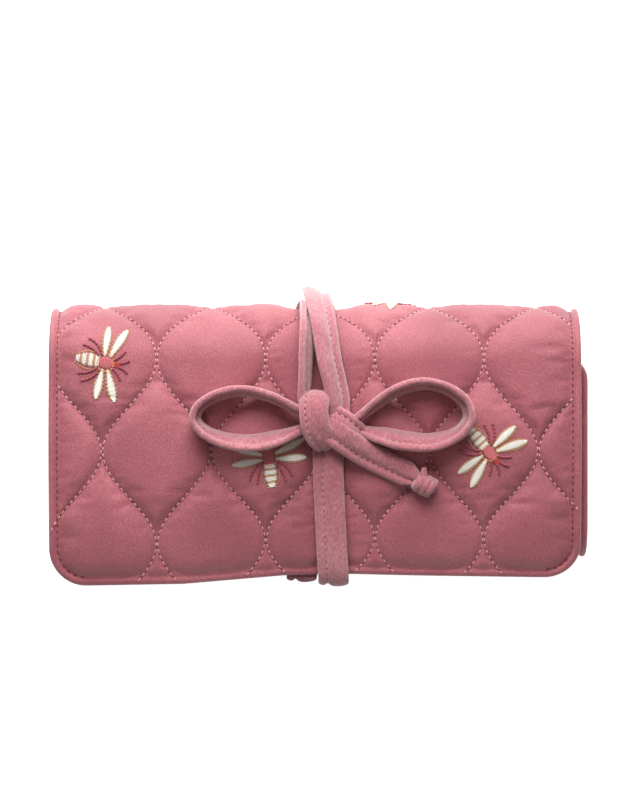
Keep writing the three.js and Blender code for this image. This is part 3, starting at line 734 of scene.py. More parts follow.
def edgeRoute(plan, inset):
    half = rollSizes["half"] - inset
    low, high = plan["from"], plan["to"]
    route = []

    def bend(corner, s, way):
        angles = [k * math.pi / 2 / stitchSizes["bendSteps"] for k in range(stitchSizes["bendSteps"] + 1)]
        right = [(half - corner + corner * math.sin(a), s + way * corner * math.cos(a)) for a in angles]
        return [(-x, s) for x, s in reversed(right)], right

    if low == rollSizes["flapEdge"]:
        corner = rollSizes["flapCorner"] - inset
        low += inset + corner
        route += bend(corner, low, -1)  # the free edge itself is turned under
    if high == tipEnd:
        corner = rollSizes["tipCorner"] - inset
        high -= inset + corner
        left, right = bend(corner, high, 1)
        route.append(left + right)
    sides = steps(low, high, (high - low) / stitchSizes["edgeSteps"])
    route += [[(side * half, s) for s in sides] for side in (-1, 1)]
    return [[(x + sideShift(s), s) for x, s in run] for run in route]


def lineRuns(line, plan):  # the stretches of one stitch line that lie on the cloth
    run = []
    for s in steps(plan["from"], plan["to"], (plan["to"] - plan["from"]) / stitchSizes["lineSteps"]):
        x = stitchLine(line, s)
        if edgeInset(x, s) > stitchSizes["freeEnd" if s < 0 else "sideEnd"]:
            run.append((x, s))
        else:
            yield run
            run = []
    yield run


def sewQuilt(plan):
    grains = []
    name, lift = plan["name"], stitchSizes["lift"]
    for line in quiltSizes["lines"]:
        for run in lineRuns(line, plan):
            if len(run) > 2:
                sewAlong(grains, run, lambda x, s: onQuilt(name, x, s, lift))
    for run in edgeRoute(plan, stitchSizes["edgeInset"]):
        seam = []
        sewAlong(seam, run, lambda x, s: onQuilt(name, x, s, lift - stitchSizes["seamSunk"]))
        grains += [(*grain[:3], 1) for grain in seam if grain[3] == 0]  # painted shade: the seam stitches take the near-black thread, standing in for the shade in the drawn-in groove
        sewAlong(grains, run, lambda x, s: rollPlace(x, s, liningDepth(x, s) + lift))
    fasten(threadPiece(plan["stitches"], grains), plan)
    print("sewed", plan["stitches"], len(grains))


# each quilt's turnFrom and turnTo are in metres; fasten reads them but bends nothing
quiltPlans = [
    {"name": "quiltFlap", "stitches": "stitchesFlap", "from": rollSizes["flapEdge"], "to": cutTop,
     "bodies": ("top_fold", "flap"), "turnFrom": (0, 0.0483, 0.02415), "turnTo": (0, 0.04653, 0.04187),
     "nodes": ("flap_outer", "flap_wadding", "flap_lining", "top_fold_outer")},
    {"name": "quiltBack", "stitches": "stitchesBack", "from": cutTop, "to": cutBack,
     "bodies": ("back", "top_fold"), "turnFrom": (0, 0.04653, 0.00643), "turnTo": (0, 0.0483, 0.02415),
     "nodes": ("back_outer", "back_wadding", "back_lining", "top_fold_wadding", "top_fold_lining")},
    {"name": "quiltBottom", "stitches": "stitchesBottom", "from": cutBack, "to": cutBottom,
     "bodies": ("back", "bottom_fold"), "turnFrom": (0, -0.04263, 0.00711), "turnTo": (0, -0.0436, 0.0168),
     "nodes": ("bottom_fold_outer", "bottom_fold_wadding", "bottom_fold_lining")},
    {"name": "quiltLower", "stitches": "stitchesLower", "from": cutBottom, "to": tipEnd,
     "bodies": ("bottom_fold", "lower_panel"), "turnFrom": (0, -0.0436, 0.0168),
     "turnTo": (0, -0.04263, 0.02649), "nodes": ("lower_outer", "lower_wadding", "lower_lining")},
]

for plan in quiltPlans:
    makeQuilt(plan)
    sewQuilt(plan)


# embroidered bees: a plain figure of satin stitches, head towards +v
beeSizes = {
    "size": 1.14, "thread": 0.27, "edge": 0.25, "limb": 0.60, "step": 0.46,
    "lift": 0.20, "over": 0.14, "lap": 0.12,  # edges and limbs lie over the rest and overlap at their ends
    "wings": [((2.5, 1.3), 21, 11.4, 3.7), ((2.6, -0.7), -4, 10.6, 3.5)],  # root, degrees up, length, width
    "abdomen": (-2.7, 8.2, 6.2), "thorax": (2.9, 5.8, 5.8), "head": (5.2, 2.4, 3.4),  # top, length, width
    "limbs": [  # legs, then the feelers
        ((2.3, -1.6), (6.6, -3.2), (7.8, -7.8)), ((2.2, -2.8), (4.8, -5.2), (5.2, -9.4)),
        ((1.5, 2.8), (3.0, 5.2), (5.4, 6.4)), ((0.7, 5.0), (1.0, 7.0), (2.4, 8.4)),
    ],
    "slant": 0.3, "edgeIn": 0.1, "stripes": 6.99, "limbSteps": 6, "outline": 16, "outlineShare": 0.75,
}
beeColours = ["cream", "gold", "tan", "coral", "scarlet", "wine"]
cream, gold, tan, coral, scarlet, wine = range(len(beeColours))
beePlaces = {  # x, s and degrees of turn; the neighbours share the bee that lies on the cut
    "beesFlap": [(-87.6, 31.4, -100), (-20.4, -7.6, 6), (70.2, -5.6, -140), (31.3, 75.6, -118)],
    "beesBack": [(31.3, 75.6, -118), (-62, 92, 150), (48, 112, 35), (88, 86, -70), (-34, 134, -40)],
    "beesBottom": [(74, 158, 120), (-74, 170, 20)],
    "beesLower": [(-48, 262, 200), (46, 250, 140)],
}


def shares(length):
    count = int(length / beeSizes["step"])
    return [step / count for step in range(count + 1)]


def wingThreads(root, lean, length, wide):
    angle = math.radians(lean)
    ahead = Vector((math.cos(angle), math.sin(angle)))
    across = Vector((-ahead.y, ahead.x))
    runs, edge = [], []
    for share in shares(length):
        # a drop, fullest past its middle
        half = wide / 2 * max(0.04, math.sin(math.pi * (0.12 + 0.84 * share) ** 1.45)) ** 0.66
        middle, slant = Vector(root) + ahead * length * share, ahead * half * beeSizes["slant"]
        out, rim = across * half + slant, across * (half - beeSizes["edgeIn"]) + slant
        runs.append((middle - out, middle + out, cream))
        edge.append((middle - rim, middle + rim))
    for part in (0, 1):
        runs += [(first[part], last[part], gold) for first, last in zip(edge[::3], edge[2::3])]
    return runs


def abdomenThreads(top, length, wide):
    runs = []
    for step, share in enumerate(shares(length)):
        # blunt at the top, pointed at the tail
        half = wide / 2 * math.sin(math.pi * (0.26 + 0.64 * share)) ** 0.7
        v = top - length * share
        stripe = tan if int(share * beeSizes["stripes"]) % 2 else cream
        runs.append((Vector((-half, v)), Vector((half, v + 0.15)), stripe))
        if step % 2:
            for x in (-half - beeSizes["edgeIn"], half + beeSizes["edgeIn"]):
                runs.append((Vector((x, v + 0.35)), Vector((x, v - 0.35)), gold))
    return runs


def ovalThreads(colour, top, length, wide):
    runs = []
    for share in shares(length):
        half, v = wide / 2 * math.sqrt(max(0.05, 1 - (2 * share - 1) ** 2)), top - length * share
        runs.append((Vector((-half, v - 0.2)), Vector((half, v + 0.2)), colour))
    return runs


def outlineThreads(top, length, wide):
    wide, tall, runs = wide / 2 + beeSizes["edgeIn"], length / 2 + beeSizes["edgeIn"], []
    for step in range(beeSizes["outline"]):
        angles = [2 * math.pi * (step + part) / beeSizes["outline"] for part in (0, beeSizes["outlineShare"])]
        first, last = (Vector((math.cos(a) * wide, top - length / 2 + math.sin(a) * tall)) for a in angles)
        runs.append((first, last, gold))
    return runs


def limbThreads(first, middle, last):
    first, middle, last = Vector(first), Vector(middle), Vector(last)
    along = [k / beeSizes["limbSteps"] for k in range(beeSizes["limbSteps"] + 1)]
    bend = [first * (1 - t) ** 2 + middle * 2 * t * (1 - t) + last * t * t for t in along]
    return [(a, b, wine) for a, b in zip(bend, bend[1:])]


def bothSides(runs):
    return runs + [(Vector((-a.x, a.y)), Vector((-b.x, b.y)), colour) for a, b, colour in runs]


def beeThreads():
    runs = bothSides([run for wing in beeSizes["wings"] for run in wingThreads(*wing)])
    runs += abdomenThreads(*beeSizes["abdomen"])
    runs += ovalThreads(coral, *beeSizes["thorax"]) + ovalThreads(scarlet, *beeSizes["head"])
    runs += outlineThreads(*beeSizes["thorax"])
    return runs + bothSides([run for limb in beeSizes["limbs"] for run in limbThreads(*limb)])


def sewBees(name, plan):
    grains = []
    thicks = {gold: beeSizes["edge"], wine: beeSizes["limb"]}
    for x, s, turn in beePlaces[name]:
        cosine, sine = (beeSizes["size"] * part(math.radians(turn)) for part in (math.cos, math.sin))
        for first, last, colour in beeThreads():
            middle = (first + last) / 2
            if not plan["from"] <= s + middle.x * sine + middle.y * cosine <= plan["to"]:
                continue  # the neighbouring piece carries these threads
            lift = beeSizes["lift"] + (beeSizes["over"] if colour in thicks else 0.0)
            places = [(x + u * cosine - v * sine, s + u * sine + v * cosine) for u, v in (first, last)]
            start, end = (onQuilt(plan["name"], *place, lift) for place in places)
            lap = (end - start) * (beeSizes["lap"] if colour in thicks else 0.0)
            grains.append((start - lap, end + lap, thicks.get(colour, beeSizes["thread"]) * mm, colour))
    fasten(threadPiece(name, grains, beeColours, 5, 3), plan)
    print("embroidered", name, len(grains))


for name, plan in zip(beePlaces, quiltPlans):
    sewBees(name, plan)


# the tie: a soft flat tape, topstitched along one side
tapeSizes = {
    "half": 6.3, "thick": 1.95, "flatThick": 1.45, "flatFrom": 2, "flatTo": 6,  # pressed flat under the roll
    "stitchAt": -2.2, "pinch": 0.78, "pinchWide": 1.0, "pinchEdge": 1.4, "round": 0.78,
    "around": 56, "step": 1.1, "crumple": 0.16, "crumpleLong": 7, "crumpleWide": 5, "ground": 0.05,
    "drawnIn": 0.45,  # the width that is left where a loop goes into the knot
}
# the grains between the tape's stitches are painted shade, in the near-black thread
tapeStitches = {"pitch": 2.7, "share": 0.56, "thick": 0.24, "holeShade": 0.30, "lift": 0.08, "ground": 0.3}
tieRoute = {"overTop": 25.75, "underFold": 18.6, "under": 1.75}  # radii of the tape's middle, height below


def curveAt(points, number, share):
    final = len(points) - 1
    ends = [points[min(final, max(0, number + k))] for k in (-1, 0, 1, 2)]
    if number == 0:
        ends[0] = points[0] * 2 - points[1]
    if number + 2 > final:
        ends[3] = points[-1] * 2 - points[-2]
    knots = [0.0]
    for a, b in zip(ends, ends[1:]):
        knots.append(knots[-1] + max(1e-4, (b - a).length ** 0.5))
    t = knots[1] + (knots[2] - knots[1]) * share

    def mixed(a, b, low, high):
        return a * ((high - t) / (high - low)) + b * ((t - low) / (high - low))

    first = [mixed(ends[k], ends[k + 1], knots[k], knots[k + 1]) for k in range(3)]
    second = [mixed(first[k], first[k + 1], knots[k], knots[k + 2]) for k in range(2)]
    return mixed(second[0], second[1], knots[1], knots[2])


def tapeFrames(points, wides):
    points = [Vector(point) for point in points]
    wides = [Vector(wide).normalized() for wide in wides]
    places, leans = [], []
    for number in range(len(points) - 1):
        count = max(3, round((points[number + 1] - points[number]).length / tapeSizes["step"]))
        for step in range(count):
            places.append(curveAt(points, number, step / count))
            leans.append(wides[number].lerp(wides[number + 1], ease(0, 1, step / count)))
    places.append(points[-1])
    leans.append(wides[-1])
    frames = []
    for number, place in enumerate(places):
        ahead = (places[min(len(places) - 1, number + 1)] - places[max(0, number - 1)]).normalized()
        face = ahead.cross(leans[number]).normalized()
        frames.append((place, number / (len(places) - 1), face.cross(ahead).normalized(), face))
    return frames


def tapeEdge(angle, sizes, sewn):
    a, b = (math.copysign(abs(part) ** sizes["round"], part) for part in (math.cos(angle), math.sin(angle)))
    a, b = a * sizes["half"], b * sizes["thick"]
    return a, b * (1 - sizes["pinch"] * math.exp(-abs((a - sewn) / sizes["pinchWide"]) ** sizes["pinchEdge"]))


def lying(sizes, z):  # none of its fullness under the roll, all of it above
    return ease(sizes["flatFrom"], sizes["flatTo"], z)


def sweepTape(bm, frames, sizes, run, seed):
    around, flat = sizes["around"], sizes["flatThick"] / sizes["thick"]
    part = bmesh.new()
    for row, (place, share, wide, face) in zip(gridOf(part, around, len(frames) - 1), frames):
        grow = run["taper"](share) if "taper" in run else (1, 1)
        sewn = run["sewnAt"](share) if "sewnAt" in run else sizes["stitchAt"]
        for turn, vert in enumerate(row):
            a, b = tapeEdge(2 * math.pi * turn / around, sizes, sewn)
            spot = place / sizes["crumpleLong"] + Vector((seed, a / sizes["crumpleWide"], 0.0))
            crumple = 1 + sizes["crumple"] * noise.noise(spot)
            if place.z < sizes["flatTo"]:
                crumple = flat + (crumple - flat) * lying(sizes, place.z)
            vert.co = (place + wide * a * grow[0] + face * b * grow[1] * crumple) * mm
            vert.co.z = max(vert.co.z, sizes["ground"] * mm)
    closeTube(part)
    joinInto(bm, part)


def sewTape(frames, sizes, run):
    grains = []
    for side in ((1, -1) if run.get("both", True) else (1,)):
        route = []
        for place, share, wide, face in frames:
            sewn = run["sewnAt"](share) if "sewnAt" in run else sizes["stitchAt"]
            out = sizes["flatThick"] + (sizes["thick"] - sizes["flatThick"]) * lying(sizes, place.z)
            out = out * (1 - sizes["pinch"]) + tapeStitches["lift"]
            route.append(tuple(place + wide * sewn + face * side * out))
        above = tapeStitches["ground"]
        sewAlong(grains, route, lambda x, y, z: Vector((x, y, max(above, z))) * mm, tapeStitches)
    return grains


def makeTape(name, run):
    sizes = dict(tapeSizes, **run.get("sizes", {}))
    frames = tapeFrames(run["points"], run["wides"])
    bm = bmesh.new()
    sweepTape(bm, frames, sizes, run, len(name) * 1.7)
    sewn = bmesh.new()
    layThreads(sewn, sewTape(frames, sizes, run))
    for face in sewn.faces:
        face.material_index += 1
    joinInto(bm, sewn)
    finishTie(name, bm, run["node"])


def finishTie(name, bm, node):
    piece = newPiece(name, bm, [tapeVelvet, threads["sewing"], threads["paintedShade"]])
    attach(piece, "tie")
    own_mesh(piece)
    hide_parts(node)
    print("tied", name)


def overTop(x, out, angle):
    radius = tieRoute["overTop"] + out * math.cos(angle)
    return (x, topY + radius * math.cos(angle), max(tieRoute["under"], topR + radius * math.sin(angle)))


def underFold(x, angle):
    radius = tieRoute["underFold"]
    return (x, bottomY - radius * math.sin(angle), max(tieRoute["under"], bottomR - radius * math.cos(angle)))


def underBack(x, *places):
    return [(x, y, tieRoute["under"]) for y in places]


def leaning(angle, across, inward):  # a width direction on the top fold, tilted into it
    return (across, -inward * math.cos(angle), -inward * math.sin(angle))


def narrowEnds(low, high):  # both ends of a loop are drawn into the knot
    drawn = tapeSizes["drawnIn"]
    return lambda share: (drawn + (1 - drawn) * ease(low, high, min(share, 1 - share)), 1)


acrossX = (1, 0, 0)
# points along the tape's middle, and the direction of its width at each
tieRuns = {
    "tieTurnFirst": {
        "node": "tie_turn_first",
        "points": [
            (3.9, -2.0, 50.6), (4.1, -16, 50.0), (4.9, -34, 49.3), (5.8, -51.5, 46.6), (6.2, -56.8, 44.4),
            (6.2, -58.9, 41.0), (6.3, -58.9, 34), (6.3, -57.2, 22), underFold(6.3, 1.1), underFold(6.3, 0.78),
            underFold(6.3, 0.5), underFold(6.3, 0), *underBack(6.3, -16, 4, 24),
            overTop(4.6, 2.6, -1.15), overTop(1.6, 3.0, -0.7), overTop(-0.4, 3.0, -0.25),
            overTop(-0.6, 3.2, 0.15), overTop(0.5, 4.2, 0.6), overTop(2.4, 6.0, 1.05),
            (4.6, 32, 53.4), (6.8, 23, 53.6), (8.2, 14.6, 53.6), (8.0, 5.6, 53.2),
        ],
        "wides": [acrossX] * 15 + [
            leaning(-1.15, 0.99, 0.1), leaning(-0.7, 0.96, 0.28), leaning(-0.25, 0.94, 0.34),
            leaning(0.15, 0.94, 0.34), leaning(0.6, 0.90, 0.43), leaning(1.05, 0.82, 0.57),
            (0.76, 0, -0.65), (0.72, 0, -0.69), (0.74, 0, -0.67), (0.8, 0, -0.6),
        ],
        "taper": lambda share: (1 - 0.25 * ease(0.96, 1, share), 1),
        "sewnAt": lambda share: -2.4 + 4.6 * ease(0.30, 0.62, share),  # changes sides on its way round
    },
    "tieTurnSecond": {
        "node": "tie_turn_second",
        "points": [
            (-3.4, 8.0, 53.6), (-5.8, 15.5, 53.6), (-5.6, 24, 53.4), overTop(-4.6, 8, 1.2),
            overTop(-3.4, 1.4, 0.75), overTop(-2.6, -1.6, 0.3), overTop(-3.0, -2.0, -0.2),
            overTop(-4.6, -1.4, -0.7), overTop(-6.0, 0.2, -1.15), *underBack(-6.3, 24, 4, -16),
            underFold(-6.3, 0), underFold(-6.3, 0.5), underFold(-6.3, 0.78), underFold(-6.5, 1.1),
            (-6.8, -56.6, 20), (-7, -57.6, 30), (-7, -57.4, 38.0),
        ],
        "wides": [
            (0.4, 0, -0.92), (0.28, 0, -0.96), (0.28, 0, -0.96), leaning(1.2, 0.36, 0.93),
            leaning(0.75, 0.62, 0.78), leaning(0.3, 0.96, 0.28), leaning(-0.2, 0.99, 0.1),
        ] + [acrossX] * 12,
        "sizes": {"stitchAt": -2.6}, "taper": lambda share: (0.72 + 0.28 * ease(0.0, 0.09, share), 1),
    },
    "tieLoopLeft": {
        "node": "tie_loop_left",
        "points": [
            (-1.0, 9.0, 54.2), (-9.0, 12.6, 54.8), (-20, 17.6, 55.4), (-31, 19.9, 55.3), (-41.6, 18.0, 55.2),
            (-49.0, 13.2, 55), (-50.6, 8.2, 55), (-46.4, 3.0, 54.8), (-37.0, -0.6, 54.5), (-26, -1.2, 54.3),
            (-16, 0.8, 54.5), (-8.6, 3.4, 54.4), (-1, 6.2, 54),
        ],
        "wides": [
            (0, 0.12, 0.99), (0.0, 0.15, 0.99), (-0.05, 0.20, 0.98), (-0.05, 0.22, 0.97), (-0.10, 0.18, 0.97),
            (-0.18, 0.10, 0.97), (-0.22, -0.06, 0.97), (-0.14, -0.24, 0.96), (-0.04, -0.40, 0.91),
            (0, -0.46, 0.88), (0, -0.44, 0.9), (0, -0.34, 0.94), (0, -0.3, 0.95),
        ],
        "sizes": {"stitchAt": 2.8}, "taper": narrowEnds(0.02, 0.18),
    },
    "tieLoopRight": {
        "node": "tie_loop_right",
        "points": [
            (7, 3.6, 53.2), (15.4, 8.4, 53.6), (23.4, 14.4, 54.8), (32, 20.0, 55.3), (42.4, 22.8, 55.2),
            (52.6, 20.8, 55.1), (60.0, 15.2, 55), (61.6, 8.6, 55), (57.4, 2.8, 54.8), (47, -1.0, 54.5),
            (35, -0.4, 54.3), (25, 1.8, 54.0), (16, 4.0, 52.2), (7, 5.4, 51.8),
        ],
        "wides": [
            (0, 0.15, 0.99), (-0.08, 0.16, 0.98), (-0.12, 0.22, 0.97), (-0.08, 0.26, 0.96), (0, 0.26, 0.97),
            (0.10, 0.2, 0.97), (0.2, 0.1, 0.97), (0.24, -0.06, 0.97), (0.16, -0.26, 0.95),
            (0.04, -0.50, 0.86), (0, -0.56, 0.83), (0, -0.54, 0.84), (0, -0.44, 0.9), (0, -0.4, 0.92),
        ],
        "sizes": {"stitchAt": 2.8}, "taper": narrowEnds(0.05, 0.2),
    },
    "tieTail": {
        "node": "tie_tail",
        "points": [
            (1.0, 6.2, 55.4), (5.0, 3.6, 57.2), (9.4, 0.6, 57.4), (14.6, -3.0, 55.6), (20.4, -6.4, 53.4),
            (28.6, -10.5, 51.9), (36.8, -14.4, 51.4), (41.2, -17.0, 51.6),
        ],
        "wides": [
            (0.62, 0.78, 0), (0.60, 0.80, 0.02), (0.56, 0.83, 0.06), (0.52, 0.85, 0.1), (0.48, 0.87, 0.12),
            (0.44, 0.89, 0.12), (0.44, 0.89, 0.12), (0.48, 0.87, 0.12),
        ],
        "taper": lambda share: (1 - 0.45 * ease(0.84, 1, share), 1 + 0.6 * ease(0.84, 1, share)),
        "sizes": {"half": 5.5, "stitchAt": -2.0},
    },
    # one band drawn over the middle, and the crossing that comes out from under it
    "tieKnotBand": {
        "node": "tie_knot_wrap",
        "points": [
            (-0.6, 15.4, 50.8), (-0.8, 17.8, 52.8), (-1.2, 18.0, 56.0), (-1.7, 15.4, 58.7), (-1.9, 10.8, 60),
            (-1.2, 5.6, 59.6), (0.7, 1.0, 57.6), (2.8, -2.2, 54.4), (3.6, -2.2, 51.4),
        ],
        "wides": [
            (1, -0.05, 0), (1, -0.05, 0), (1, -0.06, 0), (1, -0.04, 0), (1, 0.06, 0),
            (0.97, 0.22, 0), (0.94, 0.34, 0), (0.92, 0.38, 0), (0.92, 0.38, 0),
        ],
        "sizes": {"half": 6.8, "thick": 2.2, "stitchAt": -3.6, "pinch": 0.5, "round": 0.82}, "both": False,
        "taper": lambda share: (1 - 0.12 * math.sin(math.pi * share) ** 0.5 - 0.34 * ease(0.66, 1, share), 1),
    },
    "tieKnotCrossing": {
        "node": "tie_knot_crossing",
        "points": [
            (2.0, 9.8, 52.6), (5.0, 9.8, 54.8), (8.8, 8.2, 56.0), (12.8, 5.4, 55.8), (15.8, 2.2, 53.4),
            (16.2, 0.8, 50.8),
        ],
        "wides": [
            (0.5, 0.85, 0.1), (0.5, 0.85, 0.1), (0.55, 0.83, 0), (0.6, 0.8, 0), (0.66, 0.74, 0),
            (0.66, 0.74, 0),
        ],
        "sizes": {"half": 4.8, "thick": 2.4, "stitchAt": 2.0, "pinch": 0.4, "round": 1.0}, "both": False,
    },
}
for name, run in tieRuns.items():
    makeTape(name, run)

# the tail's end is tied over on itself: a wound tape on a core, with the cut end standing out
endKnot = {
    "middle": (43.4, -18.6, 53.0), "ahead": (0.91, -0.42, 0.0), "radius": 3.0, "shrink": 0.12,
    "turns": 1.62, "from": -0.6, "points": 21, "slide": 3.4, "tilt": 0.25, "seed": 3.1,
    "wrap": {"half": 3.3, "thick": 1.75, "pinch": 0.35, "stitchAt": 0.5, "round": 1.1},
    "core": (4.9, 4.1, 3.8), "dent": 0.10, "dentSize": 2.2,
    "nib": [(-1.0, -1.0, 1.4), (-2.2, -4.2, 1.6), (-3.0, -6.4, 1.2)],  # ahead, aside, up
    "nibWrap": {"half": 2.0, "thick": 1.2, "around": 16}, "nibSeed": 8.2,
}


def tieEndKnot():
    bm = bmesh.new()
    middle, ahead = Vector(endKnot["middle"]), Vector(endKnot["ahead"]).normalized()
    side = ahead.cross(up).normalized()
    points, wides = [], []
    for step in range(endKnot["points"] + 1):
        share = step / endKnot["points"]
        angle = 2 * math.pi * share * endKnot["turns"] + endKnot["from"]
        radius = endKnot["radius"] * (1 - endKnot["shrink"] * share)
        out = (side * math.cos(angle) + up * math.sin(angle)) * radius
        points.append(middle + ahead * (share - 0.5) * endKnot["slide"] + out)
        wides.append(ahead + side * endKnot["tilt"] * math.cos(angle))
    sweepTape(bm, tapeFrames(points, wides), dict(tapeSizes, **endKnot["wrap"]), {}, endKnot["seed"])
    axes = [axis * size for axis, size in zip((ahead, side, up), endKnot["core"])]
    for vert in bmesh.ops.create_icosphere(bm, subdivisions=3, radius=1)["verts"]:
        dent = 1 + endKnot["dent"] * noise.noise(vert.co * endKnot["dentSize"])
        vert.co = (middle + (axes[0] * vert.co.x + axes[1] * vert.co.y + axes[2] * vert.co.z) * dent) * mm
    nib = [middle + ahead * along + side * aside + up * above for along, aside, above in endKnot["nib"]]
    pointed = {"taper": lambda share: (1 - 0.55 * share, 1 - 0.4 * share)}
    sizes = dict(tapeSizes, **endKnot["nibWrap"])
    sweepTape(bm, tapeFrames(nib, [ahead] * len(nib)), sizes, pointed, endKnot["nibSeed"])
    finishTie("tieEndKnot", bm, "tie_end_knot")


tieEndKnot()


# sewn sheets inside: a grid shaped by a rule, with its thickness
def clothSheet(name, columns, rows, shape, thick, material, gone=None):
    bm = bmesh.new()
    table = gridOf(bm, len(columns) - 1, len(rows) - 1)
    for row, y in zip(table, rows):
        for vert, x in zip(row, columns):
            vert.co = shape(x, y) * mm
    if gone:
        drop = [face for face in bm.faces if gone(face.calc_center_median() / mm)]
        bmesh.ops.delete(bm, geom=drop, context="FACES")
    bmesh.ops.recalc_face_normals(bm, faces=bm.faces)
    if sum(face.normal.z * face.calc_area() for face in bm.faces) < 0:
        bmesh.ops.reverse_faces(bm, faces=bm.faces)
    bmesh.ops.solidify(bm, geom=bm.faces[:], thickness=thick * mm)
    bmesh.ops.recalc_face_normals(bm, faces=bm.faces)
    return newPiece(name, bm, [material])


seamStep = 2  # between the points of a straight seam


def seamX(y, left, right):
    return [(x, y) for x in steps(left, right, seamStep)]


def seamY(x, low, high):
    return [(x, y) for y in steps(low, high, seamStep)]


def seamRound(left, right, low, high):
    return [seamY(x, low, high) for x in (left, right)] + [seamX(y, left, right) for y in (low, high)]


pocketCloth = {"thick": 0.6, "step": 1.6, "riseOver": 6, "lift": 0.15}
slipPocket = {
    "left": -96.5, "right": 93.5, "low": -50, "mouth": 20, "lining": 40.1, "stand": 4.7, "seam": 1.2,
    "divider": -1.5, "pinch": 0.55, "pinchWide": 3.2, "hem": 6, "hemThick": 0.35, "hemEdge": 0.3,
    "billow": 0.35, "billowSize": 19,
    "bodies": ("flap",), "nodes": ("flap_pocket_face", "flap_pocket_gusset"), "flat": (0.196, 0.076),
}


def pocketRise(inset):
    return math.sqrt(ease(-0.5, pocketCloth["riseOver"], inset)) if inset > 0 else 0


def slipShape(x, y):
    pocket = slipPocket
    inset = min(x - pocket["left"], pocket["right"] - x, y - pocket["low"])
    pinch = 1 - pocket["pinch"] * math.exp(-((x - pocket["divider"]) / pocket["pinchWide"]) ** 2)
    billow = pocket["billow"] * uneven(pocket["billowSize"], x, y, 7)
    stand = (pocket["stand"] + billow) * pocketRise(inset) * pinch
    hem, edge = pocket["hem"], pocket["hemEdge"]
    turned = pocket["hemThick"] * ease(hem + edge, hem - edge, pocket["mouth"] - y)
    return Vector((x, y, pocket["lining"] + flapBow(y) - stand - turned))


def makeSlipPocket(pocket):
    left, right, low, mouth = (pocket[key] for key in ("left", "right", "low", "mouth"))
    columns, rows = steps(left, right, pocketCloth["step"]), steps(low, mouth, pocketCloth["step"])
    piece = clothSheet("slipPocketFace", columns, rows, slipShape, pocketCloth["thick"], liningCloth)
    fasten(piece, pocket, pocket["nodes"])
    left, right, low = left + pocket["seam"], right - pocket["seam"], low + pocket["seam"]
    runs = seamRound(left, right, low, mouth)[:3]  # the mouth itself is open
    runs += [seamY(pocket["divider"], low, mouth), seamX(mouth - pocket["hem"], left, right)]
    grains = []
    for run in runs:
        sewAlong(grains, run, lambda x, y: (slipShape(x, y) - up * pocketCloth["lift"]) * mm)
    fasten(threadPiece("slipPocketStitches", grains), pocket)
    print("sewed the slip pocket")


makeSlipPocket(slipPocket)

zipPocket = {
    "side": 98, "low": -30, "high": 26, "face": 13.3, "base": 8.2, "seam": 1.4, "rowStep": 1.4,
    "slitHalf": 84, "slitY": 14, "slitWide": 3.6, "billow": 0.3, "billowSize": 17, "billowFrom": (3, 11),
    "bodies": ("back",), "nodes": ("zip_pocket_face", "zip_pocket_gusset"), "flat": (0.204, 0.066),
}
zipTape = {
    "half": 85, "z": 14.1, "thick": 0.5, "ribs": 0.12, "ribPitch": 4.2, "uneven": 0.05, "unevenSize": 6,
    "stepLong": 1.7, "stepWide": 0.5,
    "stitchRows": (19.6, 8.4), "stitchZ": 14.3, "flat": (0.17, 0.0105), "area": 0.00115,
    "sides": [("zipTapeUpper", "zip_tape_upper", 14.5, 21), ("zipTapeLower", "zip_tape_lower", 7, 13.5)],
}


def zipShape(x, y):
    pocket = zipPocket
    rise = pocketRise(min(pocket["side"] - abs(x), y - pocket["low"], pocket["high"] - y))
    billow = pocket["billow"] * uneven(pocket["billowSize"], x, y, 2.5)
    billow *= ease(*pocket["billowFrom"], pocket["slitY"] - y)
    return Vector((x, y, pocket["base"] + (pocket["face"] - pocket["base"]) * rise - abs(billow)))


def zipTapeShape(x, y):
    ribs = zipTape["ribs"] * math.sin(y * zipTape["ribPitch"])
    soft = zipTape["uneven"] * noise.noise(Vector((x / zipTape["unevenSize"], y, 0)))
    return Vector((x, y, zipTape["z"] + ribs + soft))


def makeZipPocket(pocket):
    slit, wide, half = pocket["slitY"], pocket["slitWide"], pocket["slitHalf"]
    columns = steps(-pocket["side"], pocket["side"], pocketCloth["step"], (-half, half))
    rows = steps(pocket["low"], pocket["high"], pocket["rowStep"], (slit - wide, slit + wide))
    piece = clothSheet("zipPocketFace", columns, rows, zipShape, pocketCloth["thick"], liningCloth,
                       lambda middle: abs(middle.x) < half and abs(middle.y - slit) < wide)
    fasten(piece, pocket, pocket["nodes"])
    seam, grains = pocket["seam"], []
    side = pocket["side"] - seam
    for run in seamRound(-side, side, pocket["low"] + seam, pocket["high"] - seam):
        sewAlong(grains, run, lambda x, y: (zipShape(x, y) + up * pocketCloth["lift"]) * mm)
    for y in zipTape["stitchRows"]:
        sewAlong(grains, seamX(y, -half, half), lambda x, y: Vector((x, y, zipTape["stitchZ"])) * mm)
    fasten(threadPiece("zipPocketStitches", grains), pocket)
    for name, node, low, high in zipTape["sides"]:
        columns = steps(-zipTape["half"], zipTape["half"], zipTape["stepLong"])
        rows = steps(low, high, zipTape["stepWide"])
        tape = clothSheet(name, columns, rows, zipTapeShape, zipTape["thick"], zipCloth)
        fasten(tape, pocket, [node])
    print("sewed the zip pocket")


makeZipPocket(zipPocket)

toothSizes = {
    "pitch": 1.64, "count": 100, "wide": 0.82, "long": 1.9, "tall": 1.15, "half": 82, "gap": 0.2, "z": 15.1,
    "bevel": 0.22, "bodies": ("back",),
}


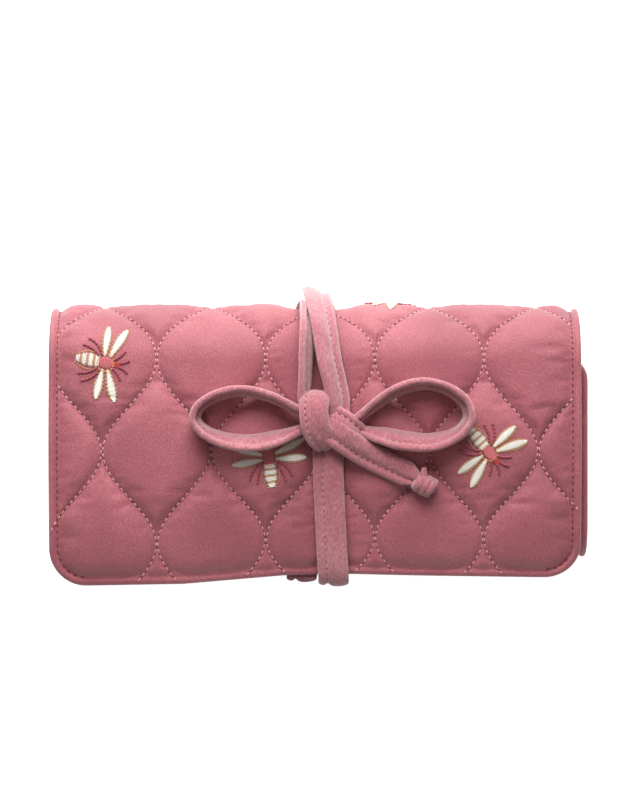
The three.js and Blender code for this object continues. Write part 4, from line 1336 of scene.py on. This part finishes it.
def makeTeeth(name, node, middle, offset):
    sizes = toothSizes
    bm = bmesh.new()
    for number in range(sizes["count"]):
        x = -sizes["half"] + sizes["wide"] / 2 + sizes["gap"] + number * sizes["pitch"] + offset
        if x > sizes["half"] - sizes["wide"] / 2:
            break
        part = bmesh.new()
        size = Matrix.Diagonal((sizes["wide"], sizes["long"], sizes["tall"], 1))
        bmesh.ops.create_cube(part, size=1, matrix=Matrix.Translation((x, middle, sizes["z"])) @ size)
        bmesh.ops.bevel(part, geom=part.edges[:], offset=sizes["bevel"], offset_type="OFFSET", affect="EDGES",
                        segments=1, profile=0.5, material=-1)
        bmesh.ops.transform(part, matrix=Matrix.Scale(mm, 4), verts=part.verts)
        joinInto(bm, part)
    piece = newPiece(name, bm, [brass])
    for face in piece.data.polygons:
        face.use_smooth = False
    fasten(piece, sizes, [node])


makeTeeth("zipTeethUpper", "zip_teeth_upper", 15.2, 0.0)
makeTeeth("zipTeethLower", "zip_teeth_lower", 12.8, toothSizes["pitch"] / 2)
print("set the zip's teeth")

# the ring bar: a stuffed tube on its anchor, with a snap tab at the free end
ringBar = {
    "from": -72, "to": 66, "y": -8, "z": 19.5, "radius": 5.5, "around": 40, "step": 1.0, "fill": 0.9,
    "endRound": 3.2, "endOpen": 0.12, "pleats": 9, "pleatDeep": 0.35, "pleatLong": 4,
    "uneven": 0.16, "unevenSize": 9,
    "seamAt": 4.4, "seamDeep": 0.5, "seamWide": 0.16, "slack": 0.25,
    "bodies": ("ring_bar",), "nodes": ("ring_bar_cover", "ring_bar_core"),
}
ringStrips = [  # the anchor climbs onto the bar and bends where it lifts; the tab comes out of the free end
    {"name": "ringBarAnchor", "node": "ring_bar_anchor", "bodies": ("lower_panel", "ring_bar"),
     "turnFrom": (-0.0745, -0.008, 0.0247), "turnTo": (-0.0699, -0.008, 0.0247),
     "left": -92, "right": -65, "z": 24.85, "thick": 0.7, "narrow": [(-74, 1.0), (-68.5, 0.55)],
     "climb": (-72.8, -69.2), "sewn": (-90.8, -66.2)},
    {"name": "ringBarSnapTab", "node": "ring_bar_snap_tab", "bodies": ("ring_bar",),
     "left": 60, "right": 88.3, "z": 22.75, "thick": 0.9, "narrow": [(62.5, 0.42), (69.5, 1.0)],
     "climb": None, "sewn": (68, 87.1)},
]
stripCloth = {
    "low": -15, "high": -1, "wide": 0.014, "step": 0.8, "seam": 1.2, "overBar": 5.6, "lift": 0.08,
    "uneven": 0.08, "unevenSize": 5,
}


def makeRingBar(bar):
    bm = bmesh.new()
    places = steps(bar["from"], bar["to"], bar["step"])
    for row, x in zip(gridOf(bm, bar["around"], len(places) - 1), places):
        ending = min(x - bar["from"], bar["to"] - x)
        close = math.sqrt(max(0.0, 1 - (1 - min(1.0, ending / bar["endRound"])) ** 2))
        for turn, vert in enumerate(row):
            angle = 2 * math.pi * turn / bar["around"]
            pleat = bar["pleatDeep"] * math.cos(bar["pleats"] * angle) * math.exp(-ending / bar["pleatLong"])
            spot = Vector((x / bar["unevenSize"], math.cos(angle), math.sin(angle)))
            soft = bar["uneven"] * noise.noise(spot)
            seam = bar["seamDeep"] * math.exp(-((angle - bar["seamAt"]) / bar["seamWide"]) ** 2)
            radius = bar["radius"] + pleat + soft - seam - bar["slack"]
            radius *= bar["endOpen"] + (1 - bar["endOpen"]) * close
            y, z = bar["y"] + radius * math.cos(angle), bar["z"] + radius * math.sin(angle)
            vert.co = Vector((x, y, z)) * mm
    closeTube(bm)
    piece = newPiece("ringBarCover", bm, [liningCloth])
    fasten(piece, bar, bar["nodes"])


def makeStrip(strip):
    def lie(x, y):
        across = (y - ringBar["y"]) * between(strip["narrow"], x)
        z = strip["z"] + stripCloth["uneven"] * uneven(stripCloth["unevenSize"], x, y, 1)
        if strip["climb"]:
            over = ringBar["z"] + math.sqrt(max(0.0, stripCloth["overBar"] ** 2 - across * across))
            z += (over - z) * ease(*strip["climb"], x)
        return Vector((x, ringBar["y"] + across, z))

    left, right, thick = strip["left"], strip["right"], strip["thick"]
    low, high, seam, lift = (stripCloth[key] for key in ("low", "high", "seam", "lift"))
    columns, rows = steps(left, right, stripCloth["step"]), steps(low, high, stripCloth["step"])
    sheet = clothSheet(strip["name"], columns, rows, lie, thick, liningCloth)
    fasten(sheet, strip, [strip["node"]])
    (right - left) * mm
    grains = []
    for run in seamRound(*strip["sewn"], low + seam, high - seam):
        for height in (lift, -thick - lift):
            sewAlong(grains, run, lambda x, y: (lie(x, y) + up * height) * mm)
    fasten(threadPiece(strip["name"] + "Stitches", grains), strip)


makeRingBar(ringBar)
for strip in ringStrips:
    makeStrip(strip)
print("stuffed the ring bar")

# the metal that stays as the solids have it
for node in ("zip_stop_left", "zip_stop_right", "zip_slider", "zip_pull", "snap_stud", "snap_socket"):
    solid = cadNodes[node]
    solid.data.materials.clear()
    solid.data.materials.append(brass)
print("metal finished")
